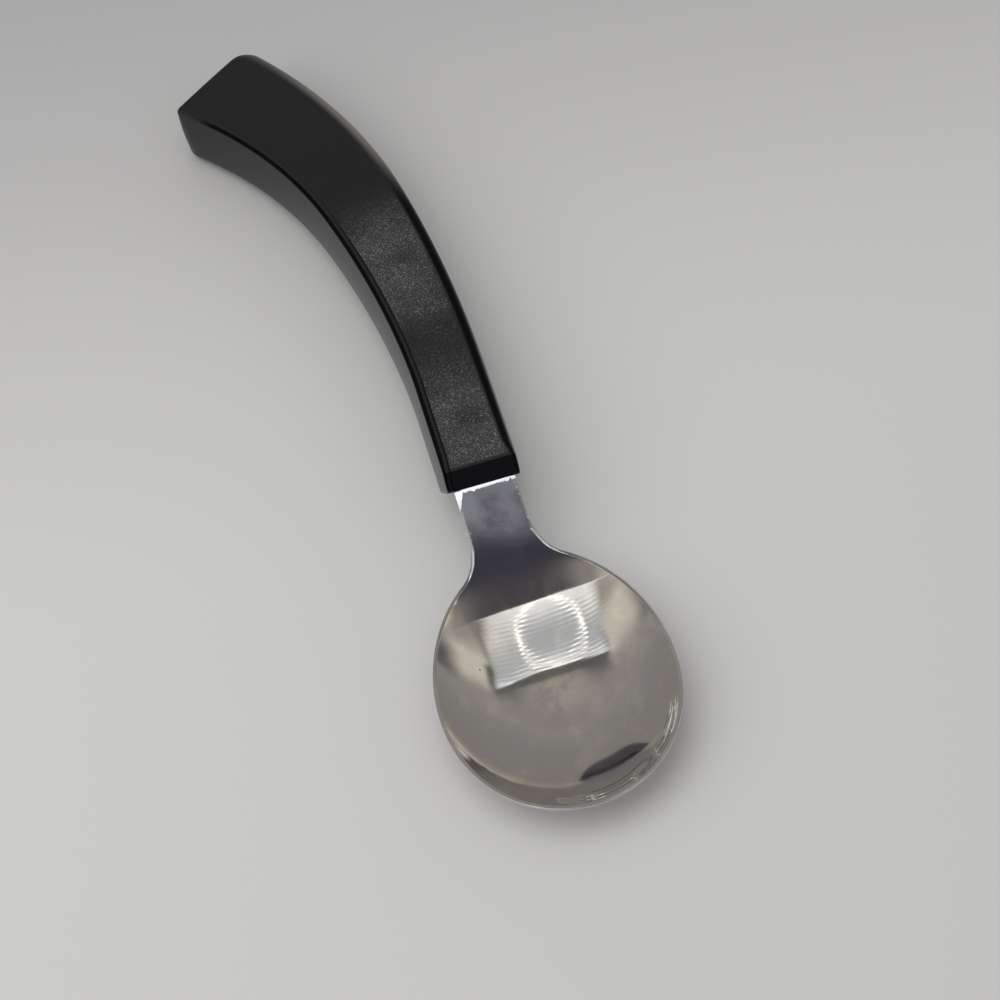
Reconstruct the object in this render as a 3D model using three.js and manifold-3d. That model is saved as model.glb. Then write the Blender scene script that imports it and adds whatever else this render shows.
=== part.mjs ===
// A left-handed spoon: a stamped steel blank, which is bowl, neck and tang, in a moulded handle of two
// pieces. The handle bends to the left in its own plane, so that the bowl faces the mouth without a turn of
// the wrist.
import * as THREE from 'three';
import { mergeVertices } from 'three/addons/utils/BufferGeometryUtils.js';
import Module from 'manifold-3d';

const wasm = await Module();
wasm.setup();

// Driving dimensions, in millimetres and degrees

// Bowl, measured from the middle of its outline, with the tip towards -Y
const bowlHalfWidth = 21.9;
const bowlHalfLength = 26;
// How far the widest place lies from the middle, towards the tip
const bowlEgg = 1.95;
const bowlDepth = 7.5;
const bowlSteel = 1.3;
// The power by which the wall rises from the middle to the rim
const bowlFullness = 2.4;
// Round the axis, between these angles from it, the wall turns into a soft run up to the neck. There it rises
// by a power of its own, and its foot and its top are softened by this much
const heelFrom = 12;
const heelTo = 48;
const heelFullness = 2;
const heelSoftness = 0.4;
// The bottom is pressed up into a flat foot that ends in a soft bend, and is then ground level
const footPress = 0.6;
const footEase = 0.35;
const footSkim = 0.07;
// The flat strip on top of the rim, and the steel's thickness there
const rimLand = 0.6;
const rimEdge = 0.8;

// Neck, which leaves the rim in a bend, climbs, and bends level again just before the handle
const neckWidth = 11.7;
const neckOffset = 0.9;
const neckSteel = 2;
const neckSlope = 27;
const neckFillet = 9.6;
const rimBend = 14;
const tangBend = 3.5;
const bendToHandle = 0.5;

// Tang, inside the handle
const tangLength = 80;
const tangWidth = 9;
const tangEndWidth = 7;
const tangSteel = 1.8;
const tangGrip = 1;

// Handle: the front edge of its flat top, seen from the middle of the bowl and from the table
const handleReach = 40.4;
const handleHeight = 18.9;
const handleDrop = 3;
const handleLean = -1.2;
const handleLength = 119.6;
const straightLength = 19.7;
const firstBendRadius = 230;
const firstBendLength = 49.8;
const secondBendRadius = 96;
const frontWidth = 13.9;
const endWidth = 22.8;
const flareStart = 22;
const flarePower = 1.3;
const frontThickness = 12.2;
// Each side wall leans out by this much on its way down
const wallSpread = 0.8;
// The end is cut askew, and the sections turn to meet it over this length
const endSkew = 6.8;
const endSkewRun = 16;

// Handle: bevels, edges and corners
const bevelRun = 2.3;
const bevelDrop = 3;
// At the front the underside runs up to a thin lip over this length
const underBevelRun = 5.8;
const lipHeight = 0.6;
const lipEdge = 0.2;
const frontCorner = 0.4;
const innerEdge = 0.6;
const outerEdge = 1.4;
const outerEdgeAtEnd = 3;
const lowerEdge = 1.8;
const wallBulge = 0.35;
const innerCorner = 2.2;
const outerCorner = 3.5;
const endTopEdge = 1;
const endLowEdge = 1.5;

// Handle: walls, ribs and the cover underneath
const steelCover = 3.6;
const topWall = 2.2;
const sideWall = 2.4;
const endWall = 2.6;
const frontWall = 5;
const coverSeat = 2;
const coverThickness = 2;
const ribThickness = 1.6;
const cellCount = 8;
const padSetback = 0.5;

// Pegs on the cover, the tang's holes and the shell's bosses
const pegRadius = 1.5;
const bossRadius = 3.2;
const pegReach = 0.8;
const firstPegCell = 1;

// Fits
const gap = 0.3;
const overrun = 1;

// Fineness of the mesh
const rowCount = 26;
const spokeCount = 26;
const bladeShares = [0.32, 0.5, 0.67, 0.84];
const stationStep = 3;
const cornerStations = 5;
const roundSides = 24;
const halvings = 40;

// Worked out from the dimensions
const floorHeight = bowlSteel - footSkim;
const rimHeight = floorHeight + bowlDepth;
const slopeOf = Math.tan(THREE.MathUtils.degToRad(neckSlope));
const drop = THREE.MathUtils.degToRad(handleDrop);
const climb = THREE.MathUtils.degToRad(neckSlope);
const skewOf = Math.tan(THREE.MathUtils.degToRad(endSkew));
const tangTop = -steelCover;
const tangFloor = tangTop - neckSteel;

// Meshes and solids

function solidOf(geometry) {
  const bare = new THREE.BufferGeometry();
  bare.setAttribute('position', geometry.getAttribute('position').clone());
  bare.setIndex(geometry.getIndex());
  const merged = mergeVertices(bare);
  return new wasm.Manifold(new wasm.Mesh({
    numProp: 3,
    vertProperties: Float32Array.from(merged.getAttribute('position').array),
    triVerts: Uint32Array.from(merged.getIndex().array),
  }));
}

function geometryOf(solid) {
  const mesh = solid.getMesh();
  const geometry = new THREE.BufferGeometry();
  geometry.setAttribute('position', new THREE.BufferAttribute(Float32Array.from(mesh.vertProperties), 3));
  geometry.setIndex(new THREE.BufferAttribute(Uint32Array.from(mesh.triVerts), 1));
  const flat = geometry.toNonIndexed();
  flat.computeVertexNormals();
  return flat;
}

function indexed(points, triangles) {
  const geometry = new THREE.BufferGeometry();
  geometry.setFromPoints(points);
  geometry.setIndex(triangles);
  return geometry;
}

// A closed skin through sections of equal count, each one anticlockwise when seen from the far end
function loft(sections) {
  const count = sections[0].length;
  const triangles = [];
  for (let row = 0; row + 1 < sections.length; row += 1) {
    for (let i = 0; i < count; i += 1) {
      const a = row * count + i;
      const b = row * count + (i + 1) % count;
      triangles.push(a, b, b + count, a, b + count, a + count);
    }
  }
  const last = (sections.length - 1) * count;
  for (let i = 1; i + 1 < count; i += 1) {
    triangles.push(0, i + 1, i, last, last + i, last + i + 1);
  }
  return indexed(sections.flat(), triangles);
}

// The handle's own frame: s runs along the centre line, side to the left, up from the flat top

const spoon = new THREE.Group();
const handle = new THREE.Group();
handle.position.set(-neckOffset, handleReach, handleHeight);
handle.rotation.x = -drop;
handle.updateMatrix();
spoon.add(handle);

function arcEnd(start, radius, length) {
  const turn = length / radius;
  const angle = start.angle + turn;
  return {
    x: start.x + radius * (Math.cos(angle) - Math.cos(start.angle)),
    y: start.y + radius * (Math.sin(angle) - Math.sin(start.angle)),
    angle,
  };
}

function centreLine(s) {
  const lean = THREE.MathUtils.degToRad(handleLean);
  const run = Math.min(s, straightLength);
  let at = { x: -Math.sin(lean) * run, y: Math.cos(lean) * run, angle: lean };
  if (s > straightLength) {
    at = arcEnd(at, firstBendRadius, Math.min(s - straightLength, firstBendLength));
  }
  if (s > straightLength + firstBendLength) {
    at = arcEnd(at, secondBendRadius, s - straightLength - firstBendLength);
  }
  return at;
}

function planPoint(s, side) {
  const at = centreLine(s + side * skewOf * smooth(handleLength - endSkewRun, handleLength, s));
  return { x: at.x - Math.cos(at.angle) * side, y: at.y - Math.sin(at.angle) * side };
}

// The flat underside falls from the front until the end's outer corner touches the table
const touch = planPoint(handleLength - endLowEdge, lowerEdge - wallSpread - endWidth / 2);
const touchDepth = (handleHeight - touch.y * Math.sin(drop)) / Math.cos(drop);

function underside(s, side) {
  const share = planPoint(s, side).y / touch.y;
  return -(frontThickness + (touchDepth - frontThickness) * share);
}

function handlePoint(s, side, up) {
  const at = planPoint(s, side);
  return new THREE.Vector3(at.x, at.y, up);
}

function intoSpoon(point) {
  return point.applyMatrix4(handle.matrix);
}

function widthAt(s) {
  const share = Math.max(s - flareStart, 0) / (handleLength - flareStart);
  return frontWidth + (endWidth - frontWidth) * share ** flarePower;
}

// How far a corner of this radius has drawn in, at a distance past its start
function drawnIn(radius, past) {
  const into = Math.min(Math.max(past, 0), radius);
  return radius - Math.sqrt(radius ** 2 - into ** 2);
}

function innerSide(s) {
  return widthAt(s) / 2 - drawnIn(innerCorner, s - handleLength + innerCorner)
    - drawnIn(frontCorner, frontCorner - bevelRun - s);
}

function outerSide(s) {
  return widthAt(s) / 2 - drawnIn(outerCorner, s - handleLength + outerCorner)
    - drawnIn(frontCorner, frontCorner - bevelRun - s);
}

function bevelShare(s) {
  return Math.max(-s, 0) / bevelRun;
}

function topAt(s) {
  return -bevelDrop * bevelShare(s) - drawnIn(endTopEdge, s - handleLength + endTopEdge);
}

// From 0 at the lip to 1 where the underside has its full depth
function depthShare(s) {
  return Math.min((s + bevelRun) / underBevelRun, 1);
}

function riseAt(s) {
  const toLip = frontThickness - bevelDrop - lipHeight;
  return toLip * (1 - depthShare(s)) + drawnIn(endLowEdge, s - handleLength + endLowEdge);
}

// One rounded corner of a section, turning anticlockwise from this quarter
function roundCorner(side, up, radius, quarter, steps) {
  const corner = [];
  for (let i = 0; i <= steps; i += 1) {
    const angle = (quarter + i / steps) * Math.PI / 2;
    corner.push([side + radius * Math.cos(angle), up + radius * Math.sin(angle)]);
  }
  return corner;
}

function handleSection(s) {
  const inner = innerSide(s);
  const outer = outerSide(s);
  const top = topAt(s);
  const lengthShare = Math.max(s, 0) / handleLength;
  const full = depthShare(s);
  const edge = lipEdge + (innerEdge - lipEdge) * full;
  const round = lipEdge + (outerEdge + (outerEdgeAtEnd - outerEdge) * lengthShare - lipEdge) * full;
  const lower = lipEdge + (lowerEdge - lipEdge) * full;
  const innerFoot = inner + wallSpread * full;
  const outerFoot = outer + wallSpread * full;
  const lowInner = underside(s, innerFoot - lower) + riseAt(s);
  const lowOuter = underside(s, lower - outerFoot) + riseAt(s);
  const bulge = wallBulge * full;
  const path = [
    ...roundCorner(inner - edge, top - edge, edge, 0, 2),
    ...roundCorner(round - outer, top - round, round, 1, 4),
    [-(outer + outerFoot) / 2 - bulge, (top + lowOuter) / 2],
    ...roundCorner(lower - outerFoot, lowOuter + lower, lower, 2, 3),
    ...roundCorner(innerFoot - lower, lowInner + lower, lower, 3, 3),
    [(inner + innerFoot) / 2 + bulge, (top + lowInner) / 2],
  ];
  return path.map(([side, up]) => handlePoint(s, side, up));
}

function evenStations(from, to) {
  const count = Math.ceil((to - from) / stationStep);
  return Array.from({ length: count + 1 }, (_, i) => from + (to - from) * i / count);
}

function handleStations() {
  const depthStart = underBevelRun - bevelRun;
  const stations = [-bevelRun, frontCorner / 2 - bevelRun, frontCorner - bevelRun];
  stations.push(...evenStations(0, depthStart));
  stations.push(...evenStations(depthStart, handleLength - outerCorner).slice(1));
  for (let i = 1; i <= cornerStations; i += 1) {
    stations.push(handleLength - outerCorner * (1 - Math.sin(i / cornerStations * Math.PI / 2)));
  }
  return stations;
}

// A bar along the centre line, with its sides, underside and top given at each station
function bar(from, to, half, low, high) {
  const sections = evenStations(from, to).map((s) => {
    const side = half(s);
    return [
      handlePoint(s, side, low(s, side)),
      handlePoint(s, side, high(s, side)),
      handlePoint(s, -side, high(s, -side)),
      handlePoint(s, -side, low(s, -side)),
    ];
  });
  return loft(sections);
}

function post(s, radius, low, high) {
  const geometry = new THREE.CylinderGeometry(radius, radius, high - low, roundSides);
  const at = centreLine(s);
  geometry.rotateX(Math.PI / 2);
  geometry.translate(at.x, at.y, (low + high) / 2);
  return geometry;
}

// Moulded handle

function tangHalf(s) {
  const share = Math.min(Math.max(s, 0) / tangLength, 1);
  return (tangWidth + (tangEndWidth - tangWidth) * share) / 2;
}

const outside = solidOf(loft(handleStations().map(handleSection)));

// The cells between the ribs. One peg is near the front, the other in the last cell that the tang fills
const cellPitch = (handleLength - endWall - frontWall) / cellCount;
const lastPegCell = Math.floor((tangLength - frontWall) / cellPitch) - 1;
const pegPlaces = [firstPegCell, lastPegCell].map((index) => frontWall + cellPitch * (index + 1 / 2));

function cellSpan(index) {
  const start = frontWall + cellPitch * index;
  return [start + ribThickness / 2, start + cellPitch - ribThickness / 2];
}

function makeShell() {
  let shell = outside;
  for (let index = 0; index < cellCount; index += 1) {
    const [from, to] = cellSpan(index);
    const cell = bar(from, to, (s) => widthAt(s) / 2 - sideWall, underside, () => -topWall);
    shell = shell.subtract(solidOf(cell));
  }
  for (const s of pegPlaces) {
    shell = shell.add(solidOf(post(s, bossRadius, tangTop + gap, -topWall / 2)));
  }
  const seat = bar(
    -bevelRun - overrun, handleLength - endWall, (s) => widthAt(s) / 2 - coverSeat,
    (s, side) => underside(s, side) - overrun, (s, side) => underside(s, side) + coverThickness,
  );
  const slot = bar(
    -bevelRun - overrun, tangLength + gap, (s) => tangHalf(s) + gap,
    underside, () => tangTop + gap,
  );
  shell = shell.subtract(solidOf(seat)).subtract(solidOf(slot));
  for (const s of pegPlaces) {
    shell = shell.subtract(solidOf(post(s, pegRadius + gap, tangFloor, tangTop + gap + pegReach + gap)));
  }
  return shell;
}

function makeBase() {
  const onCover = (s, side) => underside(s, side) + coverThickness - gap;
  const inCover = (s, side) => underside(s, side) + coverThickness / 2;
  const underTang = () => tangFloor - gap;
  const plate = bar(
    -bevelRun - overrun, handleLength - endWall - gap, (s) => widthAt(s) / 2 - coverSeat - gap,
    (s, side) => underside(s, side) - overrun, onCover,
  );
  const block = bar(-bevelRun - overrun, frontWall, (s) => tangHalf(s), inCover, underTang);
  let base = outside.intersect(solidOf(plate).add(solidOf(block)));
  for (let index = 0; index + 1 < cellCount; index += 1) {
    const middle = cellSpan(index)[1] + ribThickness / 2;
    if (middle + ribThickness < tangLength) {
      const pad = bar(
        middle - ribThickness, middle + ribThickness, (s) => tangHalf(s) - padSetback, inCover, underTang,
      );
      base = base.add(solidOf(pad));
    }
  }
  for (const s of pegPlaces) {
    const low = underside(s, 0) + coverThickness / 2;
    base = base.add(solidOf(post(s, bossRadius, low, tangFloor - gap)));
    base = base.add(solidOf(post(s, pegRadius, low, tangTop + gap + pegReach)));
  }
  return base;
}

// Steel blank: outline of the bowl and neck

const neckLeft = -neckOffset - neckWidth / 2;
const neckRight = -neckOffset + neckWidth / 2;
const widestY = -bowlEgg;

// The bowl's outline is an egg, by its own angle from -90 degrees at the tip
function eggPoint(angle) {
  const x = bowlHalfWidth * Math.cos(angle);
  const y = bowlHalfLength * Math.sin(angle) - bowlEgg * Math.cos(angle) ** 2;
  return { x, y };
}

function eggHalf(y) {
  const root = Math.sqrt(bowlHalfLength ** 2 + 4 * bowlEgg * (bowlEgg + y));
  const sine = Math.min((root - bowlHalfLength) / (2 * bowlEgg), 1);
  return bowlHalfWidth * Math.sqrt(1 - sine ** 2);
}

// The fillet from the egg to a neck edge at this distance from the bowl's axis
function filletAt(edge) {
  let low = 0;
  let high = Math.PI / 2;
  let centreY = 0;
  let tangentY = 0;
  for (let i = 0; i < halvings; i += 1) {
    const angle = (low + high) / 2;
    const at = eggPoint(angle);
    const across = bowlHalfLength * Math.cos(angle) + 2 * bowlEgg * Math.cos(angle) * Math.sin(angle);
    const along = bowlHalfWidth * Math.sin(angle);
    const size = Math.hypot(across, along);
    centreY = at.y + neckFillet * along / size;
    tangentY = at.y;
    if (at.x + neckFillet * across / size > edge + neckFillet) {
      low = angle;
    } else {
      high = angle;
    }
  }
  return { edge, centreY, tangentY };
}

const fillets = { left: filletAt(-neckLeft), right: filletAt(neckRight) };

function halfAt(y, fillet) {
  if (y < fillet.tangentY) {
    return eggHalf(y);
  }
  const into = Math.max(fillet.centreY - y, 0);
  return fillet.edge + neckFillet - Math.sqrt(neckFillet ** 2 - Math.min(into, neckFillet) ** 2);
}

// Steel blank: side view

const bendEnd = intoSpoon(handlePoint(-bevelRun - bendToHandle, 0, tangTop));
const tangBendRun = tangBend * (Math.sin(climb) + Math.sin(drop));
const tangBendRise = tangBend * (Math.cos(drop) - Math.cos(climb));
const rimBendRun = rimBend * Math.sin(climb);
const rimBendRise = rimBend * (1 - Math.cos(climb));
const straightRise = bendEnd.z - rimHeight - tangBendRise - rimBendRise;
const straightRun = straightRise / slopeOf;
const bendStartY = bendEnd.y - tangBendRun;
const slopeStartY = bendStartY - straightRun;
const rimEndY = slopeStartY - rimBendRun;

// The height of the steel's top along the rim and the neck
function neckLine(y) {
  if (y < rimEndY) {
    return rimHeight;
  }
  if (y < slopeStartY) {
    return rimHeight + rimBend - Math.sqrt(rimBend ** 2 - (y - rimEndY) ** 2);
  }
  if (y < bendStartY) {
    return rimHeight + rimBendRise + (y - slopeStartY) * slopeOf;
  }
  if (y < bendEnd.y) {
    const past = y - bendStartY - tangBend * Math.sin(climb);
    const fromCentre = Math.sqrt(tangBend ** 2 - past ** 2);
    return bendEnd.z + fromCentre - tangBend * Math.cos(drop);
  }
  return bendEnd.z - (y - bendEnd.y) * Math.tan(drop);
}

// How far out a point lies inside the rim's flat strip: 0 in the middle of the bowl, 1 at the strip
function eggShare(x, y) {
  const wide = bowlHalfWidth - rimLand;
  const long = bowlHalfLength - rimLand;
  let low = 0;
  let high = 1;
  for (let i = 0; i < halvings; i += 1) {
    const share = (low + high) / 2;
    const square = long ** 2 + 4 * bowlEgg * (y - widestY) / share;
    const sine = (Math.sqrt(Math.max(square, 0)) - long) / (2 * bowlEgg);
    const outside = square < 0 || (x / (share * wide)) ** 2 + sine ** 2 > 1;
    if (outside) {
      low = share;
    } else {
      high = share;
    }
  }
  return high;
}

// The foot lifts what lies below the flat, and eases into the wall
function pressed(z) {
  const above = z - floorHeight;
  if (above >= footEase) {
    return z;
  }
  return floorHeight + Math.max(above + footEase, 0) ** 2 / (4 * footEase);
}

// The height of the steel's top
function steelTop(x, y) {
  const fromAxis = THREE.MathUtils.radToDeg(Math.atan2(Math.abs(x), y - widestY));
  const soft = 1 - smooth(heelFrom, heelTo, fromAxis);
  const fullness = bowlFullness + (heelFullness - bowlFullness) * soft;
  const wall = (1 - eggShare(x, y) ** fullness) ** (1 + heelSoftness * soft);
  return pressed(neckLine(y) - (bowlDepth + footPress) * wall);
}

function smooth(from, to, y) {
  return THREE.MathUtils.smoothstep(y, from, to);
}

function spineX(y) {
  return -neckOffset * smooth(rimEndY / 2, slopeStartY, y);
}

// The thickness of the steel in the middle and at its edge, both growing to the neck's
function steelAt(y) {
  return bowlSteel + (neckSteel - bowlSteel) * smooth(rimEndY / 2, slopeStartY, y);
}

function edgeSteelAt(y) {
  return rimEdge + (neckSteel - rimEdge) * smooth(rimEndY / 2, slopeStartY, y);
}

// Points from the middle to the edge of one half row, or of one spoke at the front of the bowl
function halfRow(from, to) {
  const inside = 1 - rimLand / from.distanceTo(to);
  const shares = bladeShares.map((share) => share * inside).concat(inside, 1);
  return shares.map((share) => {
    const at = from.clone().lerp(to, share);
    return at.setZ(steelTop(at.x, at.y));
  });
}

function makeBlank() {
  const points = [];
  const triangles = [];
  const ringCount = bladeShares.length + 2;
  const quad = (a, b, c, d) => triangles.push(a, b, c, a, c, d);

  // Rows from the widest place to the handle. Each has its middle point first, then its right and left half
  const neckEnd = intoSpoon(handlePoint(-bevelRun - gap, 0, tangTop)).y;
  const rows = [];
  for (let row = 0; row <= rowCount; row += 1) {
    const y = widestY + (neckEnd - widestY) * row / rowCount;
    const middle = new THREE.Vector3(spineX(y), y, 0);
    const right = new THREE.Vector3(halfAt(y, fillets.right), y, 0);
    const left = new THREE.Vector3(-halfAt(y, fillets.left), y, 0);
    const start = points.length;
    points.push(middle.clone().setZ(steelTop(middle.x, y)));
    points.push(...halfRow(middle, right), ...halfRow(middle, left));
    const rightIds = Array.from({ length: ringCount }, (_, i) => start + 1 + i);
    const leftIds = Array.from({ length: ringCount }, (_, i) => start + 1 + ringCount + i);
    rows.push([...leftIds.reverse(), start, ...rightIds]);
  }
  for (let row = 0; row < rowCount; row += 1) {
    for (let i = 0; i < 2 * ringCount; i += 1) {
      quad(rows[row][i], rows[row][i + 1], rows[row + 1][i + 1], rows[row + 1][i]);
    }
  }

  // Spokes round the front of the bowl, from the right end of the first row to the left end
  const centre = new THREE.Vector3(0, widestY, 0);
  const spokes = [rows[0].slice(ringCount + 1)];
  for (let spoke = 1; spoke < spokeCount; spoke += 1) {
    const angle = -Math.PI * spoke / spokeCount;
    const edge = eggPoint(angle < -Math.PI / 2 ? -Math.PI - angle : angle);
    const x = angle < -Math.PI / 2 ? -edge.x : edge.x;
    const start = points.length;
    points.push(...halfRow(centre, new THREE.Vector3(x, edge.y, 0)));
    spokes.push(Array.from({ length: ringCount }, (_, i) => start + i));
  }
  spokes.push(rows[0].slice(0, ringCount).reverse());
  const hub = rows[0][ringCount];
  for (let spoke = 0; spoke < spokeCount; spoke += 1) {
    const a = spokes[spoke];
    const b = spokes[spoke + 1];
    triangles.push(hub, b[0], a[0]);
    for (let i = 0; i + 1 < ringCount; i += 1) {
      quad(a[i], b[i], b[i + 1], a[i + 1]);
    }
  }

  // The underside lies one thickness below, square to the surface, but straight down at the edge
  const top = indexed(points, triangles);
  top.computeVertexNormals();
  const normals = top.getAttribute('normal');
  const edgeIds = new Set(rows.flatMap((row) => [row[0], row.at(-1)]));
  const landIds = new Set(rows.flatMap((row) => [row[1], row.at(-2)]));
  for (const spoke of spokes) {
    edgeIds.add(spoke.at(-1));
    landIds.add(spoke.at(-2));
  }
  const up = new THREE.Vector3(0, 0, 1);
  const below = points.map((point, i) => {
    const normal = new THREE.Vector3().fromBufferAttribute(normals, i);
    if (edgeIds.has(i)) {
      normal.lerp(up, 1 - smooth(rimEndY, slopeStartY, point.y)).normalize();
    }
    const steel = edgeIds.has(i) || landIds.has(i) ? edgeSteelAt(point.y) : steelAt(point.y);
    const under = point.clone().addScaledVector(normal, -steel);
    return under.setZ(Math.max(under.z, 0));
  });
  const blade = solidOf(thickened(points, below, triangles));

  const tang = bar(
    -bevelRun - gap - tangGrip, tangLength, tangHalf,
    () => tangTop - (neckSteel + tangSteel) / 2, () => tangTop - (neckSteel - tangSteel) / 2,
  );
  tang.applyMatrix4(handle.matrix);
  let blank = blade.add(solidOf(tang));
  for (const s of pegPlaces) {
    const hole = post(s, pegRadius + gap, tangFloor - overrun, tangTop + overrun);
    hole.applyMatrix4(handle.matrix);
    blank = blank.subtract(solidOf(hole));
  }
  return blank;
}

// Closes a sheet: its top, its underside and a wall along every edge that only one triangle has
function thickened(above, below, triangles) {
  const count = above.length;
  const all = [...triangles];
  const edges = new Map();
  for (let i = 0; i < triangles.length; i += 3) {
    const corners = triangles.slice(i, i + 3);
    all.push(corners[0] + count, corners[2] + count, corners[1] + count);
    for (let k = 0; k < 3; k += 1) {
      edges.set(`${corners[k]} ${corners[(k + 1) % 3]}`, [corners[k], corners[(k + 1) % 3]]);
    }
  }
  for (const [a, b] of edges.values()) {
    if (!edges.has(`${b} ${a}`)) {
      all.push(a, a + count, b + count, a, b + count, b);
    }
  }
  return indexed([...above, ...below], all);
}

// Finishes

const polishedSteel = new THREE.MeshStandardMaterial({ color: 0xb9b6b0, roughness: 0.22, metalness: 1 });
const grainedPlastic = new THREE.MeshStandardMaterial({ color: 0x252528, roughness: 0.45, metalness: 0 });
const plainPlastic = new THREE.MeshStandardMaterial({ color: 0x222225, roughness: 0.5, metalness: 0 });

function piece(name, solid, material) {
  const mesh = new THREE.Mesh(geometryOf(solid), material);
  mesh.name = name;
  return mesh;
}

spoon.add(piece('spoon_blank', makeBlank(), polishedSteel));
handle.add(piece('handle_shell', makeShell(), grainedPlastic));
handle.add(piece('handle_base', makeBase(), plainPlastic));

// Puts the origin on the table, under the middle of the spoon's box

const part = new THREE.Group();
part.add(spoon);
part.updateMatrixWorld(true);
const box = new THREE.Box3().setFromObject(part, true);
const middle = box.getCenter(new THREE.Vector3());
spoon.position.set(-middle.x, -middle.y, -box.min.z);

export default part;
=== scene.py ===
# A left-handed spoon: a polished steel blank, which is bowl, neck and tang, in a charcoal handle of two
# mouldings. Lengths are in millimetres. Shapes are worked out in the spoon's own frame, with the middle of
# the bowl's outline at x = y = 0, the tip towards -Y and the table at z = 0. They are then put where the
# frame has them, in metres.
import math
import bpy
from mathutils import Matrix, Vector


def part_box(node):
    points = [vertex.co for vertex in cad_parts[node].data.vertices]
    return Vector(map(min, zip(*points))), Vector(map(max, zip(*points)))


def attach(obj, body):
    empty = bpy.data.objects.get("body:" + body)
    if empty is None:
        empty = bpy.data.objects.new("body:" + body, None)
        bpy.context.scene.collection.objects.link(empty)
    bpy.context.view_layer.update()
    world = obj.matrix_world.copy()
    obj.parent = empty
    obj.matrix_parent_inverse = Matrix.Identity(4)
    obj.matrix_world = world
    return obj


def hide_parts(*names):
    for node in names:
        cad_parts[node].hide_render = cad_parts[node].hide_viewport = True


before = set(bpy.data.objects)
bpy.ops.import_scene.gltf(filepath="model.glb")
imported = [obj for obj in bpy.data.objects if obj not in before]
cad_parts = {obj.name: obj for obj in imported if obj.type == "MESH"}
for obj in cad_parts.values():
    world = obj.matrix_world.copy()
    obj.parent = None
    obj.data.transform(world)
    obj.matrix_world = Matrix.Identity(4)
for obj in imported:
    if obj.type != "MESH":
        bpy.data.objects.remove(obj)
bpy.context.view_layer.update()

from types import SimpleNamespace

import bmesh
import bpy
import numpy as np
from mathutils import Matrix, Vector

# Steel blank
# Bowl, neck and tang are one stainless blank, stamped from sheet: the rim keeps a narrow flat strip, the
# bottom is pressed up into a small flat foot, and the neck bends up and then level again before the handle.

metre = 1000
bowl_half_width = 21.9
bowl_half_length = 26.0
bowl_egg = 1.95
bowl_depth = 7.5
bowl_steel = 1.3
bowl_fullness = 2.4
heel_from, heel_to = 12, 48
heel_fullness = 2.0
heel_softness = 0.4
foot_press, foot_ease, foot_skim = 0.6, 0.35, 0.07
rim_land = 0.6
rim_edge = 0.8
rim_radius = 0.22
rim_taper_share = 0.2
neck_width = 11.7
neck_offset = 0.9
neck_steel = 2.0
neck_slope = math.radians(27)
neck_fillet = 9.6
rim_bend = 14.0
tang_bend = 3.5
bend_to_handle = 0.5
handle_reach = 40.4
handle_height = 18.9
handle_drop = math.radians(3)
bevel_run = 2.3
steel_cover = 3.6
lip_clearance = 0.04

# The mesh has a ring of points at each of these shares of the way out to the rim. Then come the turns round
# the rim's edge, the steps along the outline and for slopes, how often a search halves its range, how close
# points are joined, in metres, and the marks that tell the rim's edge and the underside from the top.
ring_shares = np.concatenate([np.linspace(0, 0.96, 34), [0.975, 0.988, 0.996, 1.0]])
quarter_turn = np.radians([0, 22.5, 45, 67.5, 90])
outline_spacing = 0.4
normal_step = 0.15
halvings = 40
weld, sliver = 2e-6, 1e-7
edge_mark, under_mark = 1.1, 1.2

blank_low, blank_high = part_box("spoon_blank")
bowl_middle = np.array(
    [blank_high[0] * metre - bowl_half_width, blank_low[1] * metre + bowl_half_length, 0])
floor_height = bowl_steel - foot_skim
rim_height = floor_height + bowl_depth
widest_y = -bowl_egg


def to_part(points):
    """From the spoon's frame in millimetres to the part's in metres."""
    return (np.asarray(points) + bowl_middle) / metre


def smooth(low, high, value):
    share = np.clip((value - low) / (high - low), 0, 1)
    return share * share * (3 - 2 * share)


def handle_to_spoon(points):
    """From the handle's frame, which starts at the middle of its top behind the bevel, to the spoon's."""
    x, y, up = np.moveaxis(np.asarray(points, dtype=float), -1, 0)
    cos, sin = math.cos(handle_drop), math.sin(handle_drop)
    return np.stack(
        [x - neck_offset, handle_reach + y * cos + up * sin, handle_height - y * sin + up * cos], axis=-1)


bend_end = handle_to_spoon([0, -bevel_run - bend_to_handle, -steel_cover])
bend_end_rise = bend_end[2] - rim_height
bend_start_y = bend_end[1] - tang_bend * (math.sin(neck_slope) + math.sin(handle_drop))
tang_bend_rise = tang_bend * (math.cos(handle_drop) - math.cos(neck_slope))
rim_bend_rise = rim_bend * (1 - math.cos(neck_slope))
straight_rise = bend_end_rise - tang_bend_rise - rim_bend_rise
slope_start_y = bend_start_y - straight_rise / math.tan(neck_slope)
rim_end_y = slope_start_y - rim_bend * math.sin(neck_slope)


def neck_line(y):
    """The height of the steel's top along the rim and the neck."""
    bend_in = rim_bend - np.sqrt(rim_bend ** 2 - np.clip(y - rim_end_y, 0, rim_bend / 2) ** 2)
    slope = rim_bend_rise + (y - slope_start_y) * math.tan(neck_slope)
    past = np.clip(y - bend_start_y - tang_bend * math.sin(neck_slope), -tang_bend, tang_bend)
    bend_out = bend_end_rise + np.sqrt(tang_bend ** 2 - past ** 2) - tang_bend * math.cos(handle_drop)
    level = bend_end_rise - (y - bend_end[1]) * math.tan(handle_drop)
    before = [y < rim_end_y, y < slope_start_y, y < bend_start_y, y < bend_end[1]]
    return rim_height + np.select(before, [0 * y, bend_in, slope, bend_out], level)


def neck_share(y):
    """How far the blank has gone over from the bowl's steel to the neck's."""
    return smooth(rim_end_y / 2, slope_start_y, y)


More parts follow.
